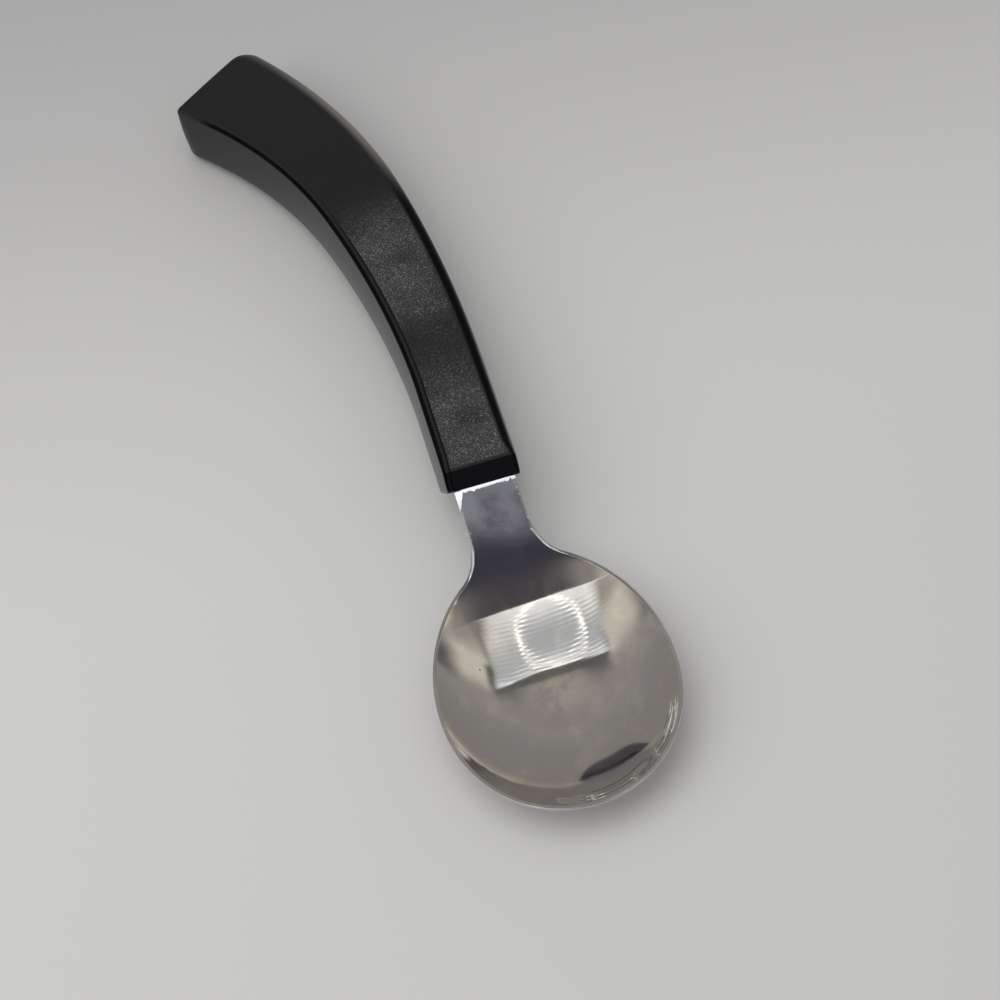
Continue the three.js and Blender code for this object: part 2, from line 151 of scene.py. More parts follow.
def egg_share(x, y):
    """How far out a point lies, as a share of the egg inside the rim's flat strip."""
    wide, long = bowl_half_width - rim_land, bowl_half_length - rim_land
    low, high = np.zeros_like(x), np.ones_like(x)
    for _ in range(halvings):
        share = (low + high) / 2
        square = long ** 2 + 4 * bowl_egg * (y - widest_y) / share
        sine = (np.sqrt(np.maximum(square, 0)) - long) / (2 * bowl_egg)
        outside = (square < 0) | ((x / (share * wide)) ** 2 + sine ** 2 > 1)
        low, high = np.where(outside, share, low), np.where(outside, high, share)
    return high


def steel_top(x, y):
    from_axis = np.degrees(np.arctan2(np.abs(x), y - widest_y))
    soft = 1 - smooth(heel_from, heel_to, from_axis)
    fullness = bowl_fullness + (heel_fullness - bowl_fullness) * soft
    wall_share = np.maximum(1 - egg_share(x, y) ** fullness, 0) ** (1 + heel_softness * soft)
    z = neck_line(y) - (bowl_depth + foot_press) * wall_share
    above = z - floor_height
    eased = np.maximum(above + foot_ease, 0) ** 2 / (4 * foot_ease)
    return np.where(above >= foot_ease, z, floor_height + eased)


def unit(vectors):
    return vectors / np.linalg.norm(vectors, axis=-1, keepdims=True)


def steel_normal(x, y):
    slope_x = (steel_top(x + normal_step, y) - steel_top(x - normal_step, y)) / (2 * normal_step)
    slope_y = (steel_top(x, y + normal_step) - steel_top(x, y - normal_step)) / (2 * normal_step)
    return unit(np.stack([-slope_x, -slope_y, np.ones_like(slope_x)], axis=-1))


def egg_point(angle):
    """Points of the bowl's outline, and vectors that point straight out of it."""
    sine, cosine = np.sin(angle), np.cos(angle)
    point = np.stack([bowl_half_width * cosine, bowl_half_length * sine - bowl_egg * cosine ** 2], axis=-1)
    across = bowl_half_length * cosine + 2 * bowl_egg * cosine * sine
    return point, np.stack([across, bowl_half_width * sine], axis=-1)


def fillet(edge):
    """The arc from the egg to a neck edge: the y of its centre, where it meets the egg, and its turn."""
    low, high = 0.0, math.pi / 2
    for _ in range(halvings):
        angle = (low + high) / 2
        (x, y), out = egg_point(angle)
        across, along = unit(out)
        if x + neck_fillet * across > edge + neck_fillet:
            low = angle
        else:
            high = angle
    return y + neck_fillet * along, angle, math.atan2(along, across)


def half_outline(edge, neck_end):
    """Points and outward normals from the neck's end to the tip, on the right side."""
    centre_y, meet, turn = fillet(edge)
    straight = np.linspace(neck_end, centre_y, int((neck_end - centre_y) / outline_spacing) + 1)[:-1]
    arc = np.linspace(0, turn, int(neck_fillet * turn / outline_spacing) + 1)[:-1]
    egg_length = bowl_half_length * (meet + math.pi / 2)
    egg = np.linspace(meet, -math.pi / 2, int(egg_length / outline_spacing))
    arc_normal = np.stack([np.cos(arc), np.sin(arc)], axis=-1)
    arc_points = np.array([edge + neck_fillet, centre_y]) - neck_fillet * arc_normal
    egg_points, egg_normal = egg_point(egg)
    straight_points = np.stack([np.full_like(straight, edge), straight], axis=-1)
    points = np.vstack([straight_points, arc_points, egg_points])
    normals = np.vstack([np.tile([1.0, 0.0], (len(straight), 1)), arc_normal, unit(egg_normal)])
    return points, normals


def add_object(name, data):
    made = bpy.data.objects.new(name, data)
    bpy.context.scene.collection.objects.link(made)
    return made


def add_marks(mesh, marks):
    for name, values in marks.items():
        attribute = mesh.attributes.new(name, "FLOAT", "POINT")
        attribute.data.foreach_set("value", np.asarray(values, dtype=np.float32))


def add_mesh(name, points, faces, smooth_faces=True, marks=None):
    """A piece from points in the spoon's frame, with doubled points joined and faces turned outwards."""
    mesh = bpy.data.meshes.new(name)
    mesh.from_pydata([tuple(p) for p in to_part(points)], [], [tuple(int(i) for i in f) for f in faces])
    add_marks(mesh, marks or {})
    work = bmesh.new()
    work.from_mesh(mesh)
    bmesh.ops.remove_doubles(work, verts=work.verts, dist=weld)
    bmesh.ops.dissolve_degenerate(work, edges=work.edges, dist=sliver)
    bmesh.ops.recalc_face_normals(work, faces=work.faces)
    for face in work.faces:
        face.smooth = smooth_faces
    work.to_mesh(mesh)
    work.free()
    return add_object(name, mesh)


def blank_mesh():
    """Spokes from the middle line out over the top, round the rim's edge and back underneath."""
    neck_end = handle_to_spoon([0, -bevel_run - lip_clearance, -steel_cover])[1]
    right, right_normal = half_outline(neck_width / 2 - neck_offset, neck_end)
    left, left_normal = half_outline(neck_width / 2 + neck_offset, neck_end)
    mirror = np.array([-1, 1])
    outline = np.vstack([right, (left * mirror)[::-1][1:]])
    outward = np.vstack([right_normal, (left_normal * mirror)[::-1][1:]])
    outline_y = outline[:, 1]
    spine_y = np.maximum(outline_y, widest_y)
    spine = np.stack([-neck_offset * neck_share(spine_y), spine_y], axis=-1)
    land = outline - outward * rim_land

    inner = spine[:, None] + (land - spine)[:, None] * ring_shares[None, :, None]
    x, y = inner[..., 0], inner[..., 1]
    top = np.concatenate([inner, steel_top(x, y)[..., None]], axis=-1)
    full_steel = bowl_steel + (neck_steel - bowl_steel) * neck_share(y)
    edge_steel = rim_edge + (neck_steel - rim_edge) * neck_share(y)
    taper = smooth(0, rim_taper_share, 1 - ring_shares)[None, :]
    under = top - steel_normal(x, y) * (edge_steel + (full_steel - edge_steel) * taper)[..., None]
    under[..., 2] = np.maximum(under[..., 2], 0)

    rim_top = np.concatenate([outline, neck_line(outline_y)[:, None]], axis=-1)
    lean = smooth(rim_end_y, slope_start_y, outline_y)
    up = np.array([0, 0, 1]) * (1 - lean[:, None])
    up = unit(up + steel_normal(outline[:, 0], outline_y) * lean[:, None])
    out = np.concatenate([outward, np.zeros((len(outline), 1))], axis=-1)
    steel = rim_edge + (neck_steel - rim_edge) * neck_share(outline_y)
    radius = rim_radius * (1 + lean)
    insets = [radius * (1 - math.sin(angle)) for angle in quarter_turn]
    sinks = [radius * (1 - math.cos(angle)) for angle in quarter_turn]
    half_edge = list(zip(insets, sinks))
    edge = half_edge + [(inset, steel - sink) for inset, sink in half_edge[::-1]]
    rim = np.stack([rim_top - out * inset[:, None] - up * sink[:, None] for inset, sink in edge], axis=1)

    rings = np.concatenate([top, rim, under[:, ::-1]], axis=1)
    spokes, count = rings.shape[:2]
    ids = np.arange(spokes * count).reshape(spokes, count)
    quads = np.stack([ids[:-1, :-1], ids[1:, :-1], ids[1:, 1:], ids[:-1, 1:]], axis=-1).reshape(-1, 4)
    neck_face = [list(ids[0]) + list(ids[-1][::-1])]
    marks = np.concatenate(
        [ring_shares, np.full(len(edge), edge_mark), np.full(len(ring_shares), under_mark)])
    return rings.reshape(-1, 3), quads.tolist() + neck_face, {"rim": np.tile(marks, spokes)}


blank_points, blank_faces, blank_marks = blank_mesh()
blank = add_mesh("bowl_and_neck", blank_points, blank_faces, marks=blank_marks)


def node_tools(tree):
    """Short ways to add nodes to a tree. A value is a number, a colour, a vector or a node's output."""
    def make(kind, **values):
        node = tree.nodes.new(kind)
        for key, value in values.items():
            setattr(node, key, value)
        return node

    def feed(socket, value):
        if isinstance(value, bpy.types.NodeSocket):
            tree.links.new(value, socket)
        else:
            socket.default_value = value

    def calc(operation, *values):
        node = make("ShaderNodeMath", operation=operation)
        for socket, value in zip(node.inputs, values):
            feed(socket, value)
        return node.outputs["Value"]

    def times(first, *others):
        for other in others:
            first = calc("MULTIPLY", first, other)
        return first

    def vector(operation, *values, output="Vector"):
        node = make("ShaderNodeVectorMath", operation=operation)
        for socket, value in zip(node.inputs, values):
            feed(socket, value)
        return node.outputs[output]

    def split(value):
        node = make("ShaderNodeSeparateXYZ")
        feed(node.inputs[0], value)
        return node.outputs["X"], node.outputs["Y"], node.outputs["Z"]

    def ramp(value, low, high, to_low=0.0, to_high=1.0):
        node = make("ShaderNodeMapRange", interpolation_type="SMOOTHSTEP")
        named = {"Value": value, "From Min": low, "From Max": high, "To Min": to_low, "To Max": to_high}
        for name, item in named.items():
            feed(node.inputs[name], item)
        return node.outputs["Result"]

    def blend(share, first, second):
        node = make("ShaderNodeMix", data_type="RGBA")
        for index, item in ((0, share), (6, first), (7, second)):
            feed(node.inputs[index], item)
        return node.outputs[2]

    def colour_ramp(value, stops):
        node = make("ShaderNodeValToRGB")
        elements = node.color_ramp.elements
        while len(elements) < len(stops):
            elements.new(1.0)
        for element, (position, colour) in zip(elements, stops):
            element.position = position
            element.color = (*colour, 1)
        feed(node.inputs[0], value)
        return node.outputs["Color"]

    def turn_to(share, first, second):
        node = make("ShaderNodeMix", data_type="VECTOR")
        for index, item in ((0, share), (4, first), (5, second)):
            feed(node.inputs[index], item)
        return vector("NORMALIZE", node.outputs[1])

    def noise(place, scale, detail=2.0, stretch=(1, 1, 1)):
        node = make("ShaderNodeTexNoise")
        feed(node.inputs["Vector"], vector("MULTIPLY", place, stretch))
        node.inputs["Scale"].default_value = scale
        node.inputs["Detail"].default_value = detail
        return node.outputs["Fac"]

    def bump(height, distance, normal=None):
        node = make("ShaderNodeBump")
        node.inputs["Distance"].default_value = distance
        feed(node.inputs["Height"], height)
        if normal is not None:
            feed(node.inputs["Normal"], normal)
        return node.outputs["Normal"]

    def mark(name):
        return make("ShaderNodeAttribute", attribute_name=name).outputs["Fac"]

    return SimpleNamespace(
        make=make, feed=feed, calc=calc, times=times, vector=vector, split=split, ramp=ramp, blend=blend,
        colour_ramp=colour_ramp, turn_to=turn_to, noise=noise, bump=bump, mark=mark)


def new_material(name):
    material = bpy.data.materials.new(name)
    material.use_nodes = True
    tree = material.node_tree
    tree.nodes.clear()
    tools = node_tools(tree)
    shader = tools.make("ShaderNodeBsdfPrincipled")
    output = tools.make("ShaderNodeOutputMaterial")
    tree.links.new(shader.outputs["BSDF"], output.inputs["Surface"])
    return material, tools, shader


# A pair of numbers is where a fade starts and where it ends, or the least and the most of what it changes.
steel_colour = (0.62, 0.6, 0.575, 1)
stain_colour = (0.71, 0.68, 0.625, 1)
stain_scale, stain_share = 0.22, (0.47, 0.7)
spot_colour = (0.82, 0.78, 0.69, 1)
spot_place, spot_stretch, spot_fade = (0.6, 0, 0), (0.8, 1, 0), (6.5, 1.5)
spot_scale, spot_share = 0.4, (0.35, 0.6)
# The neck's bluish tint is a painted reflection of the blue-grey room, not a colour of the steel.
neck_reflection_tint, neck_reflection_tint_run = (0.57, 0.59, 0.64, 1), (18, 26)
pit_colour, pit_place, pit_size = (0.05, 0.045, 0.04, 1), (-12.0, 7.6, 0), 0.2
bowl_roughness, smudge_roughness = 0.07, 0.035
smudge_scale, smudge_share = 0.16, (0.4, 0.7)
neck_roughness, neck_smudge_share, neck_dull_run = (0.17, 0.27), (0.3, 0.7), (22.5, 33)

# The heel is where the bowl's wall goes over into the neck. Below it the punch drew the steel in.
upper_side = (0.05, 0.3)
heel_middle = 2.0
heel_edge, heel_edge_droop, heel_edge_fray, heel_edge_fade = 16.7, 0.007, 0.25, (-0.2, 0.5)
heel_left, heel_right = (-15.5, -11.0), (21.0, 17.0)
heel_off_land, neck_off_land = (1.0, 0.985), (26, 30)
heel_tilt, neck_tilt, tilt_run = math.radians(31.1), math.radians(34), (18, 26)
heel_roundness_share = 0.7
drawn_start, drawn_left, drawn_right = (2.5, 5.0), (-13.5, -7.0), (15.0, 8.0)
drawn_low_y, drawn_low_tilt, drawn_turn = 5.2, math.radians(15.05), math.radians(1.03)
drawn_bend = -0.0253

# The bend next to the handle is scuffed bright, and so are dots along the neck's edges. Both have one normal.
scuff_tilt = math.radians(28.5)
scuff_reach, scuff_fade = 0.75, (-0.08, 0.12)
scuff_ragged_scale, scuff_raggedness = 1.1, 1.8
scuff_corner, scuff_corner_reach = (-5.2, -6.5), 2.6
dot_scale, dot_share = 1.9, (0.6, 0.64)
dot_side, dot_run = (4.2, 5.6), (25.5, 29.0)

# Ripples lie where the steel was drawn in, and press rings near the rim. Worn rings along the front have
# normals of their own too, which reflect bright and dark in turn.
ripple_pitch, ripple_height = 0.78, 3.6e-6
ripple_wobble_scale, ripple_wobble = 0.12, 9.0
ripple_start, ripple_end, ripple_side = (3.5, 6.0), (16.5, 14.0), (12.5, 9.5)
ripple_middle, ripple_middle_shares = (0.5, 5.0), (0.35, 1.0)
wave_scale, wave_height = 0.3, 7e-6
press_ring_share, press_ring_height = 0.036, 3.5e-6
press_ring_in, press_ring_out = (0.88, 0.93), (1.0, 0.99)
press_ring_front, press_ring_scale, press_ring_gaps = (-8, -16), 0.14, (0.3, 0.5)
worn_ring_side, bright_ring, dark_ring = (-9, 3), (0.55, 0.95), (-0.6, -0.95)
dark_ring_normal = (0, -0.64, 0.77)
hair_stretch, hair_height, hair_run = (5.0, 0.22, 1.0), 4.2e-6, (24, 33)
scratch_turn, scratch_stretch = math.radians(-24), (4.0, 0.16, 1.0)
scratch_share, scratch_height = (0.66, 0.74), 1.4e-6


def steel_material():
    """Polished steel: faint waves, ripples where the bowl was drawn in, hair scratches, a scuffed neck."""
    material, t, shader = new_material("polished_steel")
    coordinates = t.make("ShaderNodeTexCoord").outputs["Object"]
    place = t.vector("MULTIPLY_ADD", coordinates, (metre, metre, metre), tuple(-bowl_middle))
    x, y, _ = t.split(place)
    rim = t.mark("rim")
    hairs = t.noise(place, 1.0, 3.0, hair_stretch)
    smudges = t.noise(place, smudge_scale, 4.0)

    # The normals of the heel, the neck and the drawn zone are set here and not taken from the mesh, which is
    # up to 8 degrees less steep there, and more than that at the heel's edge. So the reflections are even.
    flat = t.make("ShaderNodeNewGeometry").outputs["Normal"]
    flat_x, _, flat_z = t.split(flat)
    upper = t.ramp(flat_z, *upper_side)
    off_middle = t.calc("ABSOLUTE", t.calc("SUBTRACT", x, heel_middle))
    edge = t.calc("SUBTRACT", heel_edge, t.times(t.calc("POWER", off_middle, 2.0), heel_edge_droop))
    past_edge = t.calc("SUBTRACT", y, t.calc("ADD", edge, t.times(hairs, heel_edge_fray)))
    is_heel = t.ramp(past_edge, *heel_edge_fade)
    below_heel = t.calc("SUBTRACT", 1.0, is_heel)
    off_land = t.calc("MAXIMUM", t.ramp(rim, *heel_off_land), t.ramp(y, *neck_off_land))
    heel = t.times(is_heel, off_land, t.ramp(x, *heel_left), t.ramp(x, *heel_right))
    drawn = t.times(t.ramp(y, *drawn_start), t.ramp(x, *drawn_left), t.ramp(x, *drawn_right), below_heel)
    drawn_tilt = t.calc("ADD", t.times(t.calc("SUBTRACT", y, drawn_low_y), drawn_turn), drawn_low_tilt)
    steeper = t.calc("SUBTRACT", t.ramp(y, *tilt_run, heel_tilt, neck_tilt), drawn_tilt)
    tilt = t.calc("ADD", drawn_tilt, t.times(is_heel, steeper))
    steep = t.make("ShaderNodeCombineXYZ")
    heel_x = t.times(flat_x, heel_roundness_share, is_heel)
    t.feed(steep.inputs["X"], t.calc("ADD", heel_x, t.times(x, drawn_bend, below_heel)))
    t.feed(steep.inputs["Y"], t.times(t.calc("SINE", tilt), -1.0))
    t.feed(steep.inputs["Z"], t.calc("COSINE", tilt))
    normal = t.turn_to(t.times(t.calc("ADD", heel, drawn), upper), flat, steep.outputs["Vector"])

    lip_y = float(handle_to_spoon([0, -bevel_run, -steel_cover])[1])
    ragged = t.times(t.calc("SUBTRACT", t.noise(place, scuff_ragged_scale, 4.0), 0.5), scuff_raggedness)
    reach = t.calc("ADD", ragged, t.ramp(x, *scuff_corner, 0.0, scuff_corner_reach))
    reach = t.calc("ADD", scuff_reach, reach)
    band = t.ramp(t.calc("SUBTRACT", reach, t.calc("SUBTRACT", lip_y, y)), *scuff_fade)
    off_neck = t.calc("ABSOLUTE", t.calc("ADD", x, neck_offset))
    dots = t.ramp(t.noise(place, dot_scale, 3.0), *dot_share)
    dots = t.times(dots, t.ramp(off_neck, *dot_side), t.ramp(y, *dot_run))
    scuffed = (0, -math.sin(scuff_tilt), math.cos(scuff_tilt))
    normal = t.turn_to(t.times(t.calc("MAXIMUM", band, dots), upper), normal, scuffed)

    wobble = t.times(t.noise(place, ripple_wobble_scale, 1.0), ripple_wobble)
    ripples = t.calc("SINE", t.calc("ADD", t.times(y, 2 * math.pi / ripple_pitch), wobble))
    ripples = t.times(ripples, t.ramp(y, *ripple_start), t.ramp(y, *ripple_end))
    ripples = t.times(ripples, t.ramp(off_middle, *ripple_side))
    ripples = t.times(ripples, t.ramp(off_middle, *ripple_middle, *ripple_middle_shares))
    normal = t.bump(ripples, ripple_height, normal)
    normal = t.bump(t.noise(place, wave_scale, 2.0), wave_height, normal)
    rings = t.calc("SINE", t.times(rim, 2 * math.pi / press_ring_share))
    near_rim = t.times(t.ramp(rim, *press_ring_in), t.ramp(rim, *press_ring_out))
    gaps = t.ramp(t.noise(place, press_ring_scale, 1.0), *press_ring_gaps)
    at_front = t.times(near_rim, t.ramp(y, *press_ring_front), gaps)
    normal = t.bump(t.times(rings, at_front), press_ring_height, normal)
    wear_and_sheen = t.times(at_front, t.ramp(x, *worn_ring_side))
    normal = t.turn_to(t.times(wear_and_sheen, t.ramp(rings, *bright_ring)), normal, scuffed)
    normal = t.turn_to(t.times(wear_and_sheen, t.ramp(rings, *dark_ring)), normal, dark_ring_normal)
    turned = t.make("ShaderNodeVectorRotate", rotation_type="Z_AXIS")
    t.feed(turned.inputs["Vector"], place)
    turned.inputs["Angle"].default_value = scratch_turn
    scratches = t.noise(turned.outputs["Vector"], 1.0, 2.0, scratch_stretch)
    normal = t.bump(t.ramp(scratches, *scratch_share), scratch_height, normal)
    normal = t.bump(t.times(hairs, t.ramp(y, *hair_run)), hair_height, normal)
    t.feed(shader.inputs["Normal"], normal)

    rough = t.calc("ADD", bowl_roughness, t.times(t.ramp(smudges, *smudge_share), smudge_roughness))
    dull = t.times(t.ramp(y, *neck_dull_run), t.ramp(smudges, *neck_smudge_share, *neck_roughness))
    rough = t.calc("ADD", rough, t.times(dull, t.calc("SUBTRACT", 1.0, band)))
    t.feed(shader.inputs["Roughness"], rough)

    stains = t.ramp(t.noise(place, stain_scale, 5.0), *stain_share)
    colour = t.blend(stains, steel_colour, stain_colour)
    from_spot = t.vector("DISTANCE", t.vector("MULTIPLY", place, spot_stretch), spot_place, output="Value")
    spot = t.times(t.ramp(from_spot, *spot_fade), t.ramp(t.noise(place, spot_scale, 4.0), *spot_share))
    colour = t.blend(spot, colour, spot_colour)
    # Painted reflection: the neck is tinted blue-grey.
    colour = t.blend(t.ramp(y, *neck_reflection_tint_run), colour, neck_reflection_tint)
    from_pit = t.vector("DISTANCE", t.vector("MULTIPLY", place, (1, 1, 0)), pit_place, output="Value")
    colour = t.blend(t.ramp(from_pit, pit_size, pit_size / 2), colour, pit_colour)
    t.feed(shader.inputs["Base Color"], colour)
    shader.inputs["Metallic"].default_value = 1
    return material


blank.data.materials.append(steel_material())
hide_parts("spoon_blank")
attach(blank, "root")

# Handle shell
# The visible handle is one moulding of charcoal plastic: a flat grained top, a crisp inner edge, a soft
# outer edge that widens towards the end, a smooth bevel in front, and a channel below for tang and cover.

handle_lean = math.radians(-1.2)
handle_length = 119.6
straight_length = 19.7
first_bend_radius, first_bend_length = 230.0, 49.8
second_bend_radius = 96.0
front_width, end_width = 13.9, 22.8
flare_start, flare_power = 22.0, 1.3
front_thickness = 12.2
wall_spread = 0.8
end_skew, end_skew_run = math.radians(6.8), 16.0
bevel_drop = 3.0
under_bevel_run = 5.8
lip_height, lip_edge = 0.6, 0.2
front_corner = 0.4
inner_edge = 0.6
outer_edge, outer_edge_at_end = 1.4, 3.0
lower_edge = 1.8
wall_bulge = 0.3
inner_corner, outer_corner = 2.2, 3.5
inner_low_corner = 4.6
end_top_edge, end_low_edge = 1.0, 1.5
cover_seat, cover_thickness = 2.0, 2.0
end_wall = 2.6
tang_length, tang_width, tang_end_width = 80.0, 9.0, 7.0
gap = 0.3
slot_gap = 0.06

# Each section has this many steps over its top, round its edges and down its walls. Then come the numbers of
# sections on the bevel, behind it, over the tang, behind the tang and in the end, the angles of those on the
# front corner, how close sections lie to a crease, and how long a step in the channel is.
top_steps, inner_steps, outer_steps, lower_steps, wall_steps = 21, 6, 12, 8, 8
bevel_count, deepening_count, slot_count, back_count, corner_count = 5, 8, 88, 36, 25
front_turn = np.radians([0, 15, 30, 45, 60, 75, 90])
top_crease, under_crease, hair = 0.12, 0.1, 0.005
off_top_mark = -9.0


def centre_line(s):
    """The handle's middle line at a distance s along it: a straight, a slight bend and a sharper one."""
    s = np.asarray(s, dtype=float)
    run = np.minimum(s, straight_length)
    x, y = -math.sin(handle_lean) * run, math.cos(handle_lean) * run
    angle = np.full_like(s, handle_lean)
    first = np.clip(s - straight_length, 0, first_bend_length)
    second = np.maximum(s - straight_length - first_bend_length, 0)
    for radius, length in ((first_bend_radius, first), (second_bend_radius, second)):
        turned = angle + length / radius
        x = x + radius * (np.cos(turned) - np.cos(angle))
        y = y + radius * (np.sin(turned) - np.sin(angle))
        angle = turned
    return x, y, angle


def handle_point(s, side, up):
    """A point beside the middle line, in the handle's frame. Sections near the end turn with its skew."""
    s, side, up = np.broadcast_arrays(s, side, up)
    skewed = side * math.tan(end_skew) * smooth(handle_length - end_skew_run, handle_length, s)
    x, y, angle = centre_line(s + skewed)
    return np.stack([x - np.cos(angle) * side, y - np.sin(angle) * side, up], axis=-1)


# The handle's end rests on the table with its lower outer edge. That gives the handle's thickness there.
touch = handle_point(handle_length - end_low_edge, lower_edge - wall_spread - end_width / 2, 0)
touch_depth = (handle_height - touch[1] * math.sin(handle_drop)) / math.cos(handle_drop)


def underside(s, side):
    """The height of the sloping flat underside."""
    share = handle_point(s, side, 0)[..., 1] / touch[1]
    return -(front_thickness + (touch_depth - front_thickness) * share)


def width_at(s):
    share = max(s - flare_start, 0) / (handle_length - flare_start)
    return front_width + (end_width - front_width) * share ** flare_power


def drawn_in(radius, past):
    """How far a corner of this radius has come in, this far past its start."""
    into = min(max(past, 0), radius)
    return radius - math.sqrt(radius ** 2 - into ** 2)


def at_end(radius, s):
    return drawn_in(radius, s - handle_length + radius)


def depth_share(s):
    return min((s + bevel_run) / under_bevel_run, 1)


def rise_at(s):
    """How far the lower edge lies above the flat underside, at the front and in the rounded end."""
    to_lip = front_thickness - bevel_drop - lip_height
    return to_lip * (1 - depth_share(s)) + at_end(end_low_edge, s)


def tang_half(s):
    share = min(max(s, 0) / tang_length, 1)
    return (tang_width + (tang_end_width - tang_width) * share) / 2


def corner(side, up, radius, quarter, steps):
    """Points round a quarter of a circle. Quarter 0 is the upper right one, and 1 is the upper left."""
    angles = (quarter + np.linspace(0, 1, steps + 1)) * math.pi / 2
    return [(side + radius * math.cos(a), up + radius * math.sin(a)) for a in angles]


def wall(high, low, out):
    """Points along a side wall, which leans out on its way down and bulges a little."""
    shares = np.linspace(0, 1, wall_steps + 2)[1:-1]
    return [(high[0] + (low[0] - high[0]) * share + out * 4 * share * (1 - share),
             high[1] + (low[1] - high[1]) * share) for share in shares]


def channel(s, half, rise, seat_deep, slot_deep):
    """From the underside up into the cover's seat and the tang's slot, and down on the other side."""
    seat, slot = half - cover_seat, tang_half(s) + gap
    roof = -steel_cover + slot_gap
    heights = []
    for side in (-seat, -slot, slot, seat):
        base = float(underside(s, side)) + rise
        deep = base + (max(base - rise + cover_thickness, base) - base) * seat_deep
        heights.append((base, deep, deep + (max(roof, deep) - deep) * slot_deep))
    left_seat, left_slot, right_slot, right_seat = heights
    return [(-seat, left_seat[0]), (-seat, left_seat[1]), (-slot, left_slot[1]), (-slot, left_slot[2]),
            (slot, right_slot[2]), (slot, right_slot[1]), (seat, right_seat[1]), (seat, right_seat[0])]


def shell_section(s, seat_deep, slot_deep):
    """One closed section, and how far each point of its top lies from the inner and the outer edge."""
    half = width_at(s) / 2
    full = depth_share(s)
    front = drawn_in(front_corner, front_corner - bevel_run - s)
    inner = half - at_end(inner_corner, s) - front
    outer = half - at_end(outer_corner, s) - front
    top = -bevel_drop * max(-s, 0) / bevel_run - at_end(end_top_edge, s)
    rise = rise_at(s)
    outer_now = outer_edge + (outer_edge_at_end - outer_edge) * max(s, 0) / handle_length
    edge, soft, lower = (
        lip_edge + (radius - lip_edge) * full for radius in (inner_edge, outer_now, lower_edge))
    low_round = at_end(inner_low_corner, s) - at_end(inner_corner, s)
    inner_foot, outer_foot = inner + wall_spread * full - low_round, outer + wall_spread * full
    bulge = wall_bulge * full
    low_inner = float(underside(s, inner_foot - lower)) + rise
    low_outer = float(underside(s, lower - outer_foot)) + rise

    path = corner(inner - edge, top - edge, edge, 0, inner_steps)
    first_top = len(path) - 1
    path += [(side, top) for side in np.linspace(inner - edge, soft - outer, top_steps + 1)[1:-1]]
    last_top = len(path)
    path += corner(soft - outer, top - soft, soft, 1, outer_steps)
    path += wall((-outer, top - soft), (-outer_foot, low_outer + lower), -bulge)
    path += corner(lower - outer_foot, low_outer + lower, lower, 2, lower_steps)
    path += channel(s, half, rise, seat_deep, slot_deep)
    path += corner(inner_foot - lower, low_inner + lower, lower, 3, lower_steps)
    path += wall((inner_foot, low_inner + lower), (inner, top - edge), bulge)

    sides, ups = np.array(path).T
    inset, outset = np.full(len(path), off_top_mark), np.full(len(path), off_top_mark)
    on_top = slice(first_top, last_top + 1)
    inset[on_top] = inner - edge - sides[on_top]
    outset[on_top] = sides[on_top] - soft + outer
    inset[:first_top + 1] = np.linspace(-edge * math.pi / 2, 0, first_top + 1)
    outset[last_top:last_top + outer_steps + 1] = np.linspace(0, -soft * math.pi / 2, outer_steps + 1)
    return handle_point(s, sides, ups), inset, outset


def section_faces(rows, count):
    """Quads between each closed section and the next, and a face over the first and the last."""
    ids = np.arange(rows * count).reshape(rows, count)
    across = np.roll(ids, -1, axis=1)
    quads = np.stack([ids[:-1], across[:-1], across[1:], ids[1:]], axis=-1).reshape(-1, 4)
    return quads.tolist() + [list(ids[0]), list(ids[-1])]


def shell_mesh():
    """Sections along the handle. The slot ends behind the tang, and the cover's seat before the end."""
    seat_end, slot_end = handle_length - end_wall, tang_length + gap
    deep_from, corner_from = under_bevel_run - bevel_run, handle_length - outer_corner
    round_to = front_corner - bevel_run
    front = [round_to - front_corner * math.cos(a) for a in front_turn]
    front += [*np.linspace(round_to, -top_crease, bevel_count)[1:], 0.0, top_crease]
    front += [*np.linspace(top_crease, deep_from - under_crease, deepening_count)[1:]]
    front += [deep_from, deep_from + under_crease]
    front += [*np.linspace(deep_from + under_crease, slot_end, slot_count)[1:]]
    end_turn = np.radians(np.linspace(0, 90, corner_count))[1:]
    turn = [handle_length - outer_corner * (1 - math.sin(a)) for a in end_turn]
    back = [slot_end + hair, *np.linspace(slot_end, corner_from, back_count)[1:]]
    back += [s for s in turn if s < seat_end] + [seat_end]
    end = [seat_end + hair] + [s for s in turn if s > seat_end + hair]
    stations = [(s, 1, 1) for s in front] + [(s, 1, 0) for s in back] + [(s, 0, 0) for s in end]
    sections = [shell_section(*station) for station in stations]
    rings = np.stack([handle_to_spoon(section[0]) for section in sections])
    rows, count = rings.shape[:2]
    marks = {
        "inset": np.concatenate([section[1] for section in sections]),
        "outset": np.concatenate([section[2] for section in sections]),
        "along": np.repeat([station[0] for station in stations], count),
    }
    return rings.reshape(-1, 3), section_faces(rows, count), marks


shell_points, shell_faces, shell_marks = shell_mesh()
shell = add_mesh("handle_casing", shell_points, shell_faces, marks=shell_marks)

# A pair of numbers is where a fade starts and where it ends, and a pair of shares what it goes between. Along
# is measured from the back of the bevel, inset from the inner edge of the top and outset from the outer one.
# Both are below zero past their edge.
plastic_colour = (0.0078, 0.0078, 0.0094, 1)
